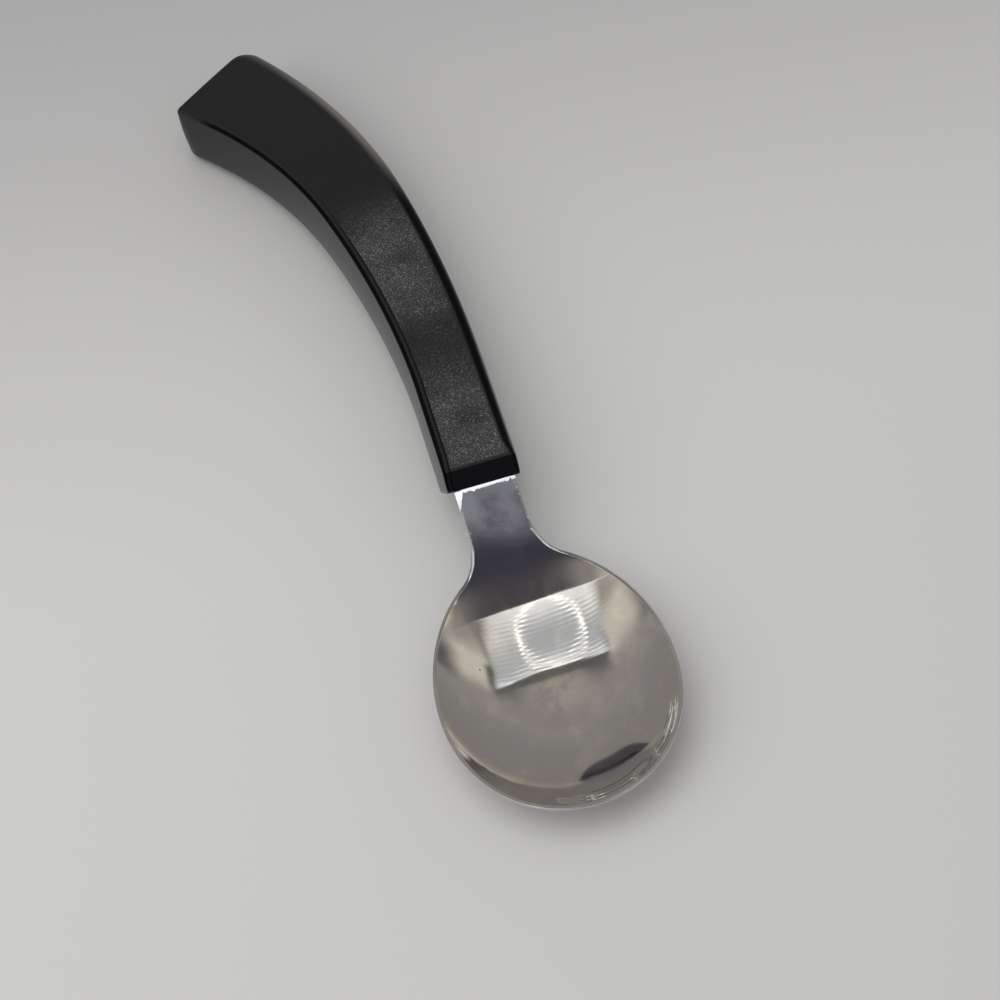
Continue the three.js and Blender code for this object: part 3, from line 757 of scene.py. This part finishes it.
# The bevel's darker colour is painted shade.
bevel_shade_colour, bevel_shade_fade = (0.0022, 0.0018, 0.003, 1), (0.05, -0.1)
smooth_roughness, grain_roughness = 0.27, 0.2
smooth_gloss, grain_gloss, crisp_gloss, line_gloss_share = 0.46, 0.34, 0.8, 0.12
grain_size, grain_height, grain_step = 0.42, 1.9e-4, 2.5e-5
grain_inset, grain_outset, grain_start = (1.05, 1.2), (-0.4, 0.9), (0.3, 0.7)
pebble_scale, pebble_share = 1.9, 1.3
end_face = 0.4
crisp_back, crisp_back_shares = (74.0, 60.0), (0.1, 1.0)
far_patch_end, far_patch_start, near_patch_end = (70.0, 58.0), (32.0, 43.0), (28.0, 15.0)
off_patch_share = 0.25
uneven_scale, uneven_noise, uneven_shares = 0.11, (0.3, 0.65), (0.45, 1.0)
sheen_mottle_colour, sheen_mottle_scale, sheen_mottle_share = (0.023, 0.023, 0.027, 1), 1.5, (0.35, 0.65)
# Glint flecks are painted highlights on the grain.
glint_colour, glint_scale, glint_share = (0.165, 0.155, 0.15, 1), 3.4, (0.52, 0.68)
# Dark lines by the inner edge and a dark band by the outer edge are painted shade.
shade_line_colour, line_end = (0.0025, 0.0022, 0.003, 1), (116.0, 108.0)
edge_line_outer, edge_line_inner = (-0.85, -0.5), (0.35, 0.15)
strip_line_outer, strip_line_inner = (0.72, 0.86), (1.22, 1.08)
strip_line_run, strip_line_shares = (85, 50), (0.25, 0.75)
# The lighter band down the outer edge's rounding is a painted reflection, not wear.
edge_sheen_colour, edge_sheen_outset, edge_sheen_wall = (0.13, 0.119, 0.112, 1), (0.3, -1.4), (-9, -5)
edge_sheen_run, edge_sheen_end, edge_sheen_end_shares = (40, 80), (116.0, 92.0), (0.3, 1.0)
dark_edge_top, dark_edge_wall, dark_edge_run = (0.5, -0.4), (-3.2, -2.0), (86.0, 62.0)


def grained_material():
    """Charcoal plastic: leather grain on top, a smooth strip along the inner edge and a smooth bevel."""
    material, t, shader = new_material("grained_plastic")
    coordinates = t.make("ShaderNodeTexCoord").outputs["Object"]
    place = t.vector("MULTIPLY", coordinates, (metre, metre, metre))
    along, inset, outset = t.mark("along"), t.mark("inset"), t.mark("outset")
    off_end = t.ramp(along, handle_length, handle_length - end_face)
    grained = t.times(t.ramp(inset, *grain_inset), t.ramp(outset, *grain_outset), off_end)
    grained = t.times(grained, t.ramp(along, *grain_start))
    # The patches are where painted glints and painted sheen lie on the grain, which is also bumped more
    # there.
    glint_patches = t.times(t.ramp(along, *far_patch_end), t.ramp(along, *far_patch_start))
    glint_patches = t.calc("MAXIMUM", glint_patches, t.ramp(along, *near_patch_end))
    grain_and_glints = t.calc("ADD", off_patch_share, t.times(glint_patches, 1 - off_patch_share))
    grain_and_glints = t.times(grain_and_glints, t.ramp(along, *crisp_back, *crisp_back_shares), grained)
    grain_and_glints = t.times(grain_and_glints, t.ramp(t.noise(place, uneven_scale, 2.0), *uneven_noise, *uneven_shares))
    cells = t.make("ShaderNodeTexVoronoi", feature="F1")
    t.feed(cells.inputs["Vector"], place)
    cells.inputs["Scale"].default_value = 1 / grain_size
    pebbles = t.times(t.noise(place, pebble_scale / grain_size, 3.0), pebble_share)
    pebbles = t.calc("ADD", cells.outputs["Distance"], pebbles)
    normal = t.bump(grained, grain_step)
    normal = t.bump(t.times(pebbles, grain_and_glints), grain_height, normal)
    t.feed(shader.inputs["Normal"], normal)

    # Painted sheen: a lighter mottle over the grain in the glint patches.
    sheen_mottle = t.ramp(t.noise(place, sheen_mottle_scale, 5.0), *sheen_mottle_share)
    colour = t.blend(t.times(sheen_mottle, grain_and_glints), plastic_colour, sheen_mottle_colour)
    # Painted highlights: bright glint flecks in the patches.
    glints = t.ramp(t.noise(place, glint_scale, 2.0), *glint_share)
    colour = t.blend(t.times(glints, grain_and_glints), colour, glint_colour)
    # Painted reflection: a lighter band down the rounding of the outer edge.
    wear_and_sheen = t.times(t.ramp(outset, *edge_sheen_outset), t.ramp(outset, *edge_sheen_wall), t.ramp(along, *edge_sheen_run))
    wear_and_sheen = t.times(wear_and_sheen, off_end, t.ramp(along, *edge_sheen_end, *edge_sheen_end_shares))
    colour = t.blend(wear_and_sheen, colour, edge_sheen_colour)
    # Painted shade: dark lines along the inner edge and the strip's border, and a dark band by the outer
    # edge.
    edge_line = t.times(t.ramp(inset, *edge_line_outer), t.ramp(inset, *edge_line_inner))
    strip_line = t.times(t.ramp(inset, *strip_line_outer), t.ramp(inset, *strip_line_inner))
    strip_line = t.times(strip_line, t.ramp(along, *strip_line_run, *strip_line_shares))
    shade_lines = t.times(t.calc("MAXIMUM", edge_line, strip_line), t.ramp(along, *line_end))
    dark_edge = t.times(t.ramp(outset, *dark_edge_top), t.ramp(outset, *dark_edge_wall))
    shade_lines = t.calc("MAXIMUM", shade_lines, t.times(dark_edge, t.ramp(along, *dark_edge_run)))
    colour = t.blend(shade_lines, colour, shade_line_colour)
    # Painted shade: the bevel is darker than the rest.
    t.feed(shader.inputs["Base Color"], t.blend(t.ramp(along, *bevel_shade_fade), colour, bevel_shade_colour))
    gloss = t.calc("ADD", t.ramp(grained, 0.0, 1.0, smooth_gloss, grain_gloss), t.times(grain_and_glints, crisp_gloss))
    gloss = t.times(gloss, t.ramp(shade_lines, 0.0, 1.0, 1.0, line_gloss_share))
    t.feed(shader.inputs["Specular IOR Level"], gloss)
    t.feed(shader.inputs["Roughness"], t.ramp(grained, 0.0, 1.0, smooth_roughness, grain_roughness))
    return material


shell.data.materials.append(grained_material())
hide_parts("handle_shell")
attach(shell, "root")

# Handle cover and tang
# The cover is a flat moulding that closes the underside. Pads and bosses on it hold the tang, which is the
# blank's end inside the handle, and two pegs go up through the tang's holes.

front_wall = 5.0
neck_end_steel, tang_steel = 2.0, 1.8
tang_grip = 1.0
rib_thickness = 1.6
cell_count = 8
pad_setback = 0.5
peg_radius, boss_radius, peg_reach = 1.5, 3.2, 0.8
peg_cells = (1.5, 4.5)
hole_length = 10.0
bar_edge = 0.12
plate_start, block_start = 2.5, -0.5
plate_steps, block_steps, tang_steps = 90, 10, 60
post_sides = 48
cover_roughness = 0.4
pad_kind, boss_kind, peg_kind = 1, 2, 3
tang_floor = -steel_cover - neck_end_steel
cell_pitch = (handle_length - end_wall - front_wall) / cell_count
pad_places = [s for s in (front_wall + cell_pitch * (i + 1) for i in range(cell_count))
              if s + rib_thickness < tang_length]
peg_places = [front_wall + cell_pitch * cells for cells in peg_cells]


def bar_mesh(stations, half, low, high):
    """A bar along the handle's centre line with its four long edges cut a little."""
    rings = []
    for s in stations:
        side = half(s)
        right_low, right_high = low(s, side), high(s, side)
        left_low, left_high = low(s, -side), high(s, -side)
        path = [(side - bar_edge, right_low), (side, right_low + bar_edge),
                (side, right_high - bar_edge), (side - bar_edge, right_high),
                (bar_edge - side, left_high), (-side, left_high - bar_edge),
                (-side, left_low + bar_edge), (bar_edge - side, left_low)]
        sides, ups = np.array(path, dtype=float).T
        rings.append(handle_point(s, sides, ups))
    rings = np.stack(rings)
    return rings.reshape(-1, 3), section_faces(*rings.shape[:2])


def plate_half(s):
    return width_at(s) / 2 - cover_seat - gap


def plate_low(s, side):
    return underside(s, side) + rise_at(s)


def plate_high(s, side):
    return underside(s, side) + cover_thickness - gap


def block_low(s, side):
    return underside(s, side) + max(rise_at(s), cover_thickness / 2)


def block_high(s, side):
    return tang_floor - gap


def tang_low(s, side):
    return -steel_cover - (neck_end_steel + tang_steel) / 2


def tang_high(s, side):
    return tang_low(s, side) + tang_steel


plate_stations = np.linspace(plate_start, handle_length - end_wall - gap, plate_steps)
plate_points, plate_faces = bar_mesh(plate_stations, plate_half, plate_low, plate_high)
block_stations = np.linspace(block_start, front_wall, block_steps)
block_points, block_faces = bar_mesh(block_stations, tang_half, block_low, block_high)
cover_points = [*plate_points, *block_points]
cover_faces = plate_faces + [[i + len(plate_points) for i in face] for face in block_faces]

# Every pad, boss and peg is marked by a point in its middle, with its kind, width, height and turn.
peg_height = -steel_cover + gap + peg_reach - tang_floor + gap
stands = [(pad_kind, s, 2 * (tang_half(s) - pad_setback), 0) for s in pad_places]
stands += [(boss_kind, s, 1, 0) for s in peg_places]
stands += [(peg_kind, s, 1, peg_height) for s in peg_places]
stand_marks = {name: [0.0] * len(cover_points) for name in ("kind", "width", "height", "turn")}
for kind, s, width, past_floor in stands:
    x, y, angle = (float(value) for value in centre_line(s))
    low = float(underside(s, 0)) + cover_thickness / 2
    height = tang_floor - gap - low + past_floor
    cover_points.append((x, y, low + height / 2))
    for name, value in zip(stand_marks, (kind, width, height, angle)):
        stand_marks[name].append(value)


def stand_tree():
    """Puts a pad, a boss or a peg on each marked point of the cover, and joins them to it."""
    tree = bpy.data.node_groups.new("pads_and_pegs", "GeometryNodeTree")
    sockets = {"Geometry": "NodeSocketGeometry", "Pad length": "NodeSocketFloat",
               "Boss radius": "NodeSocketFloat", "Peg radius": "NodeSocketFloat",
               "Material": "NodeSocketMaterial"}
    items = {name: tree.interface.new_socket(name=name, in_out="INPUT", socket_type=kind)
             for name, kind in sockets.items()}
    tree.interface.new_socket(name="Geometry", in_out="OUTPUT", socket_type="NodeSocketGeometry")
    link = tree.links.new
    make = node_tools(tree).make
    given = make("NodeGroupInput")
    result = make("NodeGroupOutput")

    def point_mark(name):
        node = make("GeometryNodeInputNamedAttribute", data_type="FLOAT")
        node.inputs["Name"].default_value = name
        return node.outputs["Attribute"]

    def compare(operation, value):
        node = make("FunctionNodeCompare", data_type="FLOAT", operation=operation)
        node.inputs["B"].default_value = value
        link(point_mark("kind"), node.inputs["A"])
        return node.outputs["Result"]

    # The shapes are a millimetre high, and the pad is a millimetre wide. The marks scale them.
    cube = make("GeometryNodeMeshCube")
    cube_size = make("ShaderNodeCombineXYZ")
    cube_size.inputs["X"].default_value = 1 / metre
    cube_size.inputs["Z"].default_value = 1 / metre
    link(given.outputs["Pad length"], cube_size.inputs["Y"])
    link(cube_size.outputs["Vector"], cube.inputs["Size"])
    shapes = {pad_kind: cube.outputs["Mesh"]}
    for kind, name in ((boss_kind, "Boss radius"), (peg_kind, "Peg radius")):
        post = make("GeometryNodeMeshCylinder")
        post.inputs["Vertices"].default_value = post_sides
        post.inputs["Depth"].default_value = 1 / metre
        link(given.outputs[name], post.inputs["Radius"])
        shapes[kind] = post.outputs["Mesh"]

    turn = make("ShaderNodeCombineXYZ")
    link(point_mark("turn"), turn.inputs["Z"])
    rotation = make("FunctionNodeEulerToRotation")
    link(turn.outputs["Vector"], rotation.inputs["Euler"])
    scale = make("ShaderNodeCombineXYZ")
    scale.inputs["Y"].default_value = 1
    link(point_mark("width"), scale.inputs["X"])
    link(point_mark("height"), scale.inputs["Z"])
    join = make("GeometryNodeJoinGeometry")
    for kind, shape in shapes.items():
        placed = make("GeometryNodeInstanceOnPoints")
        link(given.outputs["Geometry"], placed.inputs["Points"])
        link(compare("EQUAL", kind), placed.inputs["Selection"])
        link(shape, placed.inputs["Instance"])
        link(rotation.outputs["Rotation"], placed.inputs["Rotation"])
        link(scale.outputs["Vector"], placed.inputs["Scale"])
        link(placed.outputs["Instances"], join.inputs["Geometry"])
    plate = make("GeometryNodeDeleteGeometry", domain="POINT")
    link(given.outputs["Geometry"], plate.inputs["Geometry"])
    link(compare("GREATER_THAN", pad_kind / 2), plate.inputs["Selection"])
    link(plate.outputs["Geometry"], join.inputs["Geometry"])
    realize = make("GeometryNodeRealizeInstances")
    coat = make("GeometryNodeSetMaterial")
    link(join.outputs["Geometry"], realize.inputs["Geometry"])
    link(realize.outputs["Geometry"], coat.inputs["Geometry"])
    link(given.outputs["Material"], coat.inputs["Material"])
    link(coat.outputs["Geometry"], result.inputs["Geometry"])
    return tree, {name: item.identifier for name, item in items.items()}


def plain_material():
    material, _, shader = new_material("plain_plastic")
    shader.inputs["Base Color"].default_value = plastic_colour
    shader.inputs["Roughness"].default_value = cover_roughness
    return material


def mesh_of(piece):
    """The piece's mesh with its modifiers carried out, in the piece's own place."""
    made = bpy.data.meshes.new_from_object(piece.evaluated_get(bpy.context.evaluated_depsgraph_get()))
    piece.modifiers.clear()
    return made


cover_mesh = bpy.data.meshes.new("handle_cover")
cover_mesh.from_pydata([tuple(value / metre for value in point) for point in cover_points], [], cover_faces)
add_marks(cover_mesh, stand_marks)
cover = add_object("handle_cover", cover_mesh)
stand_nodes, stand_inputs = stand_tree()
stand_modifier = cover.modifiers.new("pads_and_pegs", "NODES")
stand_modifier.node_group = stand_nodes
stand_modifier[stand_inputs["Pad length"]] = 2 * rib_thickness / metre
stand_modifier[stand_inputs["Boss radius"]] = boss_radius / metre
stand_modifier[stand_inputs["Peg radius"]] = peg_radius / metre
stand_modifier[stand_inputs["Material"]] = plain_material()
cover.data = mesh_of(cover)
handle_tilt = Matrix.Rotation(-handle_drop, 4, "X")
cover.data.transform(Matrix.Translation(to_part([-neck_offset, handle_reach, handle_height])) @ handle_tilt)
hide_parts("handle_base")
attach(cover, "root")

# The tang's holes are cut one after the other. Its mesh then joins the blank's, so that they are one piece.
tang_stations = np.linspace(-bevel_run - gap - tang_grip, tang_length, tang_steps)
tang_points, tang_faces = bar_mesh(tang_stations, tang_half, tang_low, tang_high)
tang = add_mesh("tang", handle_to_spoon(tang_points), tang_faces, smooth_faces=False)
hole_radius = (peg_radius + gap) / metre
for s in peg_places:
    hole_mesh = bpy.data.meshes.new("hole")
    work = bmesh.new()
    bmesh.ops.create_cone(work, cap_ends=True, segments=post_sides, radius1=hole_radius, radius2=hole_radius,
                          depth=hole_length / metre)
    work.to_mesh(hole_mesh)
    work.free()
    x, y, _ = (float(value) for value in centre_line(s))
    at = to_part(handle_to_spoon([x, y, tang_floor]))
    hole_mesh.transform(Matrix.Translation(at) @ handle_tilt)
    hole = add_object("hole", hole_mesh)
    cut = tang.modifiers.new("hole", "BOOLEAN")
    cut.operation, cut.object = "DIFFERENCE", hole
    tang.data = mesh_of(tang)
    bpy.data.objects.remove(hole)
work = bmesh.new()
work.from_mesh(blank.data)
work.from_mesh(tang.data)
work.to_mesh(blank.data)
work.free()
bpy.data.objects.remove(tang)

# Floor and light
# The spoon lies on a pale floor under soft light from above. The floor's far side is darker: painted shade.
# What the steel reflects is painted on the sky by direction: a wide ceiling panel with a thin ring lamp in
# it, darkness in front of it, pale walls at the sides, and a dark shape low behind.

floor_colour = (0.585, 0.58, 0.568, 1)
# Painted shade: the floor darkens towards its far side.
far_shade_colour, far_shade_run = (0.39, 0.383, 0.381, 1), (-0.03, 0.17)
floor_roughness, floor_gloss = 0.8, 0.2
floor_half = 3.0
floor_mesh = bpy.data.meshes.new("floor")
floor_mesh.from_pydata(
    [(-floor_half, -floor_half, 0), (floor_half, -floor_half, 0), (floor_half, floor_half, 0),
     (-floor_half, floor_half, 0)], [], [(0, 1, 2, 3)])
floor = add_object("floor", floor_mesh)
floor_material, floor_tools, floor_shader = new_material("floor")
_, floor_y, _ = floor_tools.split(floor_tools.make("ShaderNodeTexCoord").outputs["Object"])
floor_tools.feed(floor_shader.inputs["Base Color"],
                 floor_tools.blend(floor_tools.ramp(floor_y, *far_shade_run), floor_colour, far_shade_colour))
floor_shader.inputs["Roughness"].default_value = floor_roughness
floor_shader.inputs["Specular IOR Level"].default_value = floor_gloss
floor.data.materials.append(floor_material)

# Angles on the sky are in degrees. Over is the angle from the horizon in front, over the top, to the one
# behind. Side is the angle to the right, and far its size. A pair is where a fade starts and where it ends,
# or what it goes between.
room_light = (0.6, 0.6, 0.605, 1)
backdrop = (0.6, 0.595, 0.58, 1)
horizon_to_horizon = 180
sky_stops = [(0, (0.12, 0.115, 0.12)), (30, (0.05, 0.045, 0.055)), (50, (0.05, 0.044, 0.06)),
             (57, (0.1, 0.095, 0.105)), (63, (0.2, 0.195, 0.19)), (88, (0.14, 0.137, 0.135)),
             (107, (0.16, 0.16, 0.16)), (115, (0.36, 0.342, 0.33)), (137, (0.31, 0.3, 0.295)),
             (150, (0.3, 0.285, 0.275)), (169, (0.29, 0.275, 0.26)), (173, (0.37, 0.34, 0.28)),
             (175, (0.4, 0.38, 0.33)), (176, (0.85, 0.83, 0.78)), (177, (0.4, 0.38, 0.34)),
             (180, (0.5, 0.48, 0.45))]
side_colour, sides_far, sides_over = (0.33, 0.31, 0.295, 1), (12, 42), (93, 78)
low_sides_right, low_sides_left, low_sides_over = (-3, -15), (12, 36), (64, 58)
panel_high_edge, panel_low_edge = 61.5, 86.0
panel_droop, panel_droop_far = 15.0, 34.0
panel_high_fade, panel_low_fade, panel_right_fade = (-0.03, 0.03), (1.04, 0.96), (-38, -24)
panel_left_end, panel_left_over, panel_left_lean, panel_left_fade = 27.0, 66.0, 0.25, (2.5, -2.5)
panel_bands = [(0.0, (1.25, 1.25, 1.25)), (0.22, (1.1, 1.1, 1.1)), (0.34, (0.75, 0.77, 0.79)),
               (0.5, (0.58, 0.61, 0.62)), (0.78, (0.6, 0.63, 0.66)), (0.92, (1.05, 1.06, 1.1)),
               (1.0, (1.3, 1.3, 1.3))]
warm_colour, warm_side, warm_over, warm_share = (0.9, 0.87, 0.78, 1), (13, 23), (86, 74), 0.5
low_cream_colour, low_cream_side, low_cream_over = (0.64, 0.6, 0.54, 1), (-17, -31), (70, 60)
cream_colour, cream_high, cream_low = (0.76, 0.72, 0.64, 1), (62, 84), (118, 96)
cream_start_over, cream_starts = (80, 91), (29, 37)
cream_shift_side, cream_shift = (5, -5), 8
cream_fade, cream_end = 7.0, (72, 58)
ring_over, ring_height = 74.6, 11.5
ring_side, ring_breadth = -2.0, 16.4
ring_width_share, ring_low = 0.05, (62.0, 64.0)
ring_light = (2.7, 2.65, 2.45, 1)
shape_colour, shape_side, shape_half = (0.075, 0.072, 0.076, 1), -7.0, 15.0
shape_over, shape_height, shape_power = 168.0, 10.5, 4.0
shape_high_fade, shape_low_fade = (-0.3, 0.3), (170.5, 170.0)


def paint_sky(world):
    """The steel sees the painted sky, all else an even light, and the camera a plain backdrop."""
    world.use_nodes = True
    tree = world.node_tree
    tree.nodes.clear()
    t = node_tools(tree)
    east, north, up = t.split(t.make("ShaderNodeTexCoord").outputs["Generated"])
    over = t.calc("DEGREES", t.calc("ARCTAN2", up, t.times(north, -1)))
    side = t.calc("DEGREES", t.calc("ARCSINE", east))
    far = t.calc("ABSOLUTE", side)

    stops = [(angle / horizon_to_horizon, colour) for angle, colour in sky_stops]
    sky = t.colour_ramp(t.calc("DIVIDE", over, horizon_to_horizon), stops)
    high_sides = t.times(t.ramp(far, *sides_far), t.ramp(over, *sides_over))
    low_sides = t.calc("MAXIMUM", t.ramp(side, *low_sides_right), t.ramp(side, *low_sides_left))
    low_sides = t.times(low_sides, t.ramp(over, *low_sides_over))
    sky = t.blend(t.calc("MAXIMUM", high_sides, low_sides), sky, side_colour)
    low_cream = t.times(t.ramp(side, *low_cream_side), t.ramp(over, *low_cream_over))
    sky = t.blend(low_cream, sky, low_cream_colour)
    start = t.ramp(over, *cream_start_over, *cream_starts)
    start = t.calc("SUBTRACT", start, t.ramp(side, *cream_shift_side, 0, cream_shift))
    cream = t.times(t.ramp(over, *cream_high), t.ramp(over, *cream_low), t.ramp(far, *cream_end))
    cream = t.times(cream, t.ramp(far, start, t.calc("ADD", start, cream_fade)))
    sky = t.blend(cream, sky, cream_colour)

    droop = t.times(t.calc("POWER", t.calc("DIVIDE", far, panel_droop_far), 2.0), panel_droop)
    height = t.calc("SUBTRACT", t.calc("ADD", panel_low_edge, droop), panel_high_edge)
    into = t.calc("DIVIDE", t.calc("SUBTRACT", over, panel_high_edge), height)
    warm = t.times(t.ramp(side, *warm_side, 0.0, warm_share), t.ramp(over, *warm_over))
    panel = t.blend(warm, t.colour_ramp(into, panel_bands), warm_colour)
    left_end = t.times(t.calc("SUBTRACT", over, panel_left_over), panel_left_lean)
    past_left = t.calc("SUBTRACT", side, t.calc("ADD", panel_left_end, left_end))
    in_panel = t.times(t.ramp(into, *panel_high_fade), t.ramp(into, *panel_low_fade))
    in_panel = t.times(in_panel, t.ramp(side, *panel_right_fade), t.ramp(past_left, *panel_left_fade))
    sky = t.blend(in_panel, sky, panel)

    tall = t.calc("POWER", t.calc("DIVIDE", t.calc("SUBTRACT", over, ring_over), ring_height), 2.0)
    wide = t.calc("POWER", t.calc("DIVIDE", t.calc("SUBTRACT", side, ring_side), ring_breadth), 2.0)
    off_ring = t.calc("ABSOLUTE", t.calc("SUBTRACT", t.calc("SQRT", t.calc("ADD", tall, wide)), 1.0))
    in_ring = t.times(t.ramp(off_ring, ring_width_share, ring_width_share / 2), t.ramp(over, *ring_low))
    sky = t.blend(in_ring, sky, ring_light)

    off_shape = t.calc("DIVIDE", t.calc("SUBTRACT", side, shape_side), shape_half)
    rise = t.times(t.calc("SUBTRACT", 1.0, t.calc("POWER", off_shape, shape_power)), shape_height)
    past_shape = t.calc("SUBTRACT", over, t.calc("SUBTRACT", shape_over, rise))
    in_shape = t.times(t.ramp(past_shape, *shape_high_fade), t.ramp(over, *shape_low_fade))
    sky = t.blend(in_shape, sky, shape_colour)

    path = t.make("ShaderNodeLightPath")
    seen = t.blend(path.outputs["Is Glossy Ray"], room_light, sky)
    seen = t.blend(path.outputs["Is Camera Ray"], seen, backdrop)
    background = t.make("ShaderNodeBackground")
    t.feed(background.inputs["Color"], seen)
    output = t.make("ShaderNodeOutputWorld")
    tree.links.new(background.outputs["Background"], output.inputs["Surface"])


world = bpy.data.worlds.new("studio")
bpy.context.scene.world = world
paint_sky(world)

# Each lamp has a name, a place and an aim from the middle of the bowl, its side in metres and its watts.
lamps = [("ceiling_light", (-0.08, 0.1, 0.6), (0, 0, 0), 0.42, 0.97),
         ("window_light", (-0.42, 0.04, 0.42), (0, 0.06, 0), 0.5, 0.97)]
bowl_centre = Vector(to_part([0, 0, rim_height]))
for name, place, aim, lamp_side, power in lamps:
    lamp_data = bpy.data.lights.new(name, "AREA")
    lamp_data.shape = "SQUARE"
    lamp_data.size = lamp_side
    lamp_data.energy = power
    lamp = add_object(name, lamp_data)
    lamp.location = bowl_centre + Vector(place)
    lamp.rotation_euler = (Vector(aim) - Vector(place)).to_track_quat("-Z", "Y").to_euler()
    lamp.visible_glossy = False

# Camera
# Its place, turn and lens were solved from the spoon's outlines in the picture. It stands where one point in
# the bowl is seen at its known pixel.

camera_azimuth, camera_elevation, camera_roll = (math.radians(a) for a in (9.4, 59.6, -8.9))
camera_distance = 390.0
camera_lens = 79.2
seen_point = to_part([0, -3.3, rim_height])
seen_pixel = (559.8, 689.9)
picture_side = 1000
sensor_width = 36.0
focal_pixels = camera_lens / sensor_width * picture_side

look = np.array([math.sin(camera_azimuth) * math.cos(camera_elevation),
                 math.cos(camera_azimuth) * math.cos(camera_elevation), -math.sin(camera_elevation)])
level_right = np.array([math.cos(camera_azimuth), -math.sin(camera_azimuth), 0])
level_up = np.cross(level_right, look)
picture_right = level_right * math.cos(camera_roll) + level_up * math.sin(camera_roll)
picture_up = level_up * math.cos(camera_roll) - level_right * math.sin(camera_roll)
ray = look + (picture_right * (seen_pixel[0] - picture_side / 2)
              - picture_up * (seen_pixel[1] - picture_side / 2)) / focal_pixels
camera_place = seen_point - ray * camera_distance / metre

camera_data = bpy.data.cameras.new("camera")
camera_data.lens, camera_data.sensor_width = camera_lens, sensor_width
camera = add_object("camera", camera_data)
camera.matrix_world = Matrix(
    [[picture_right[i], picture_up[i], -look[i], camera_place[i]] for i in range(3)] + [[0, 0, 0, 1]])
bpy.context.scene.camera = camera
bpy.context.scene.view_settings.view_transform = "Standard"
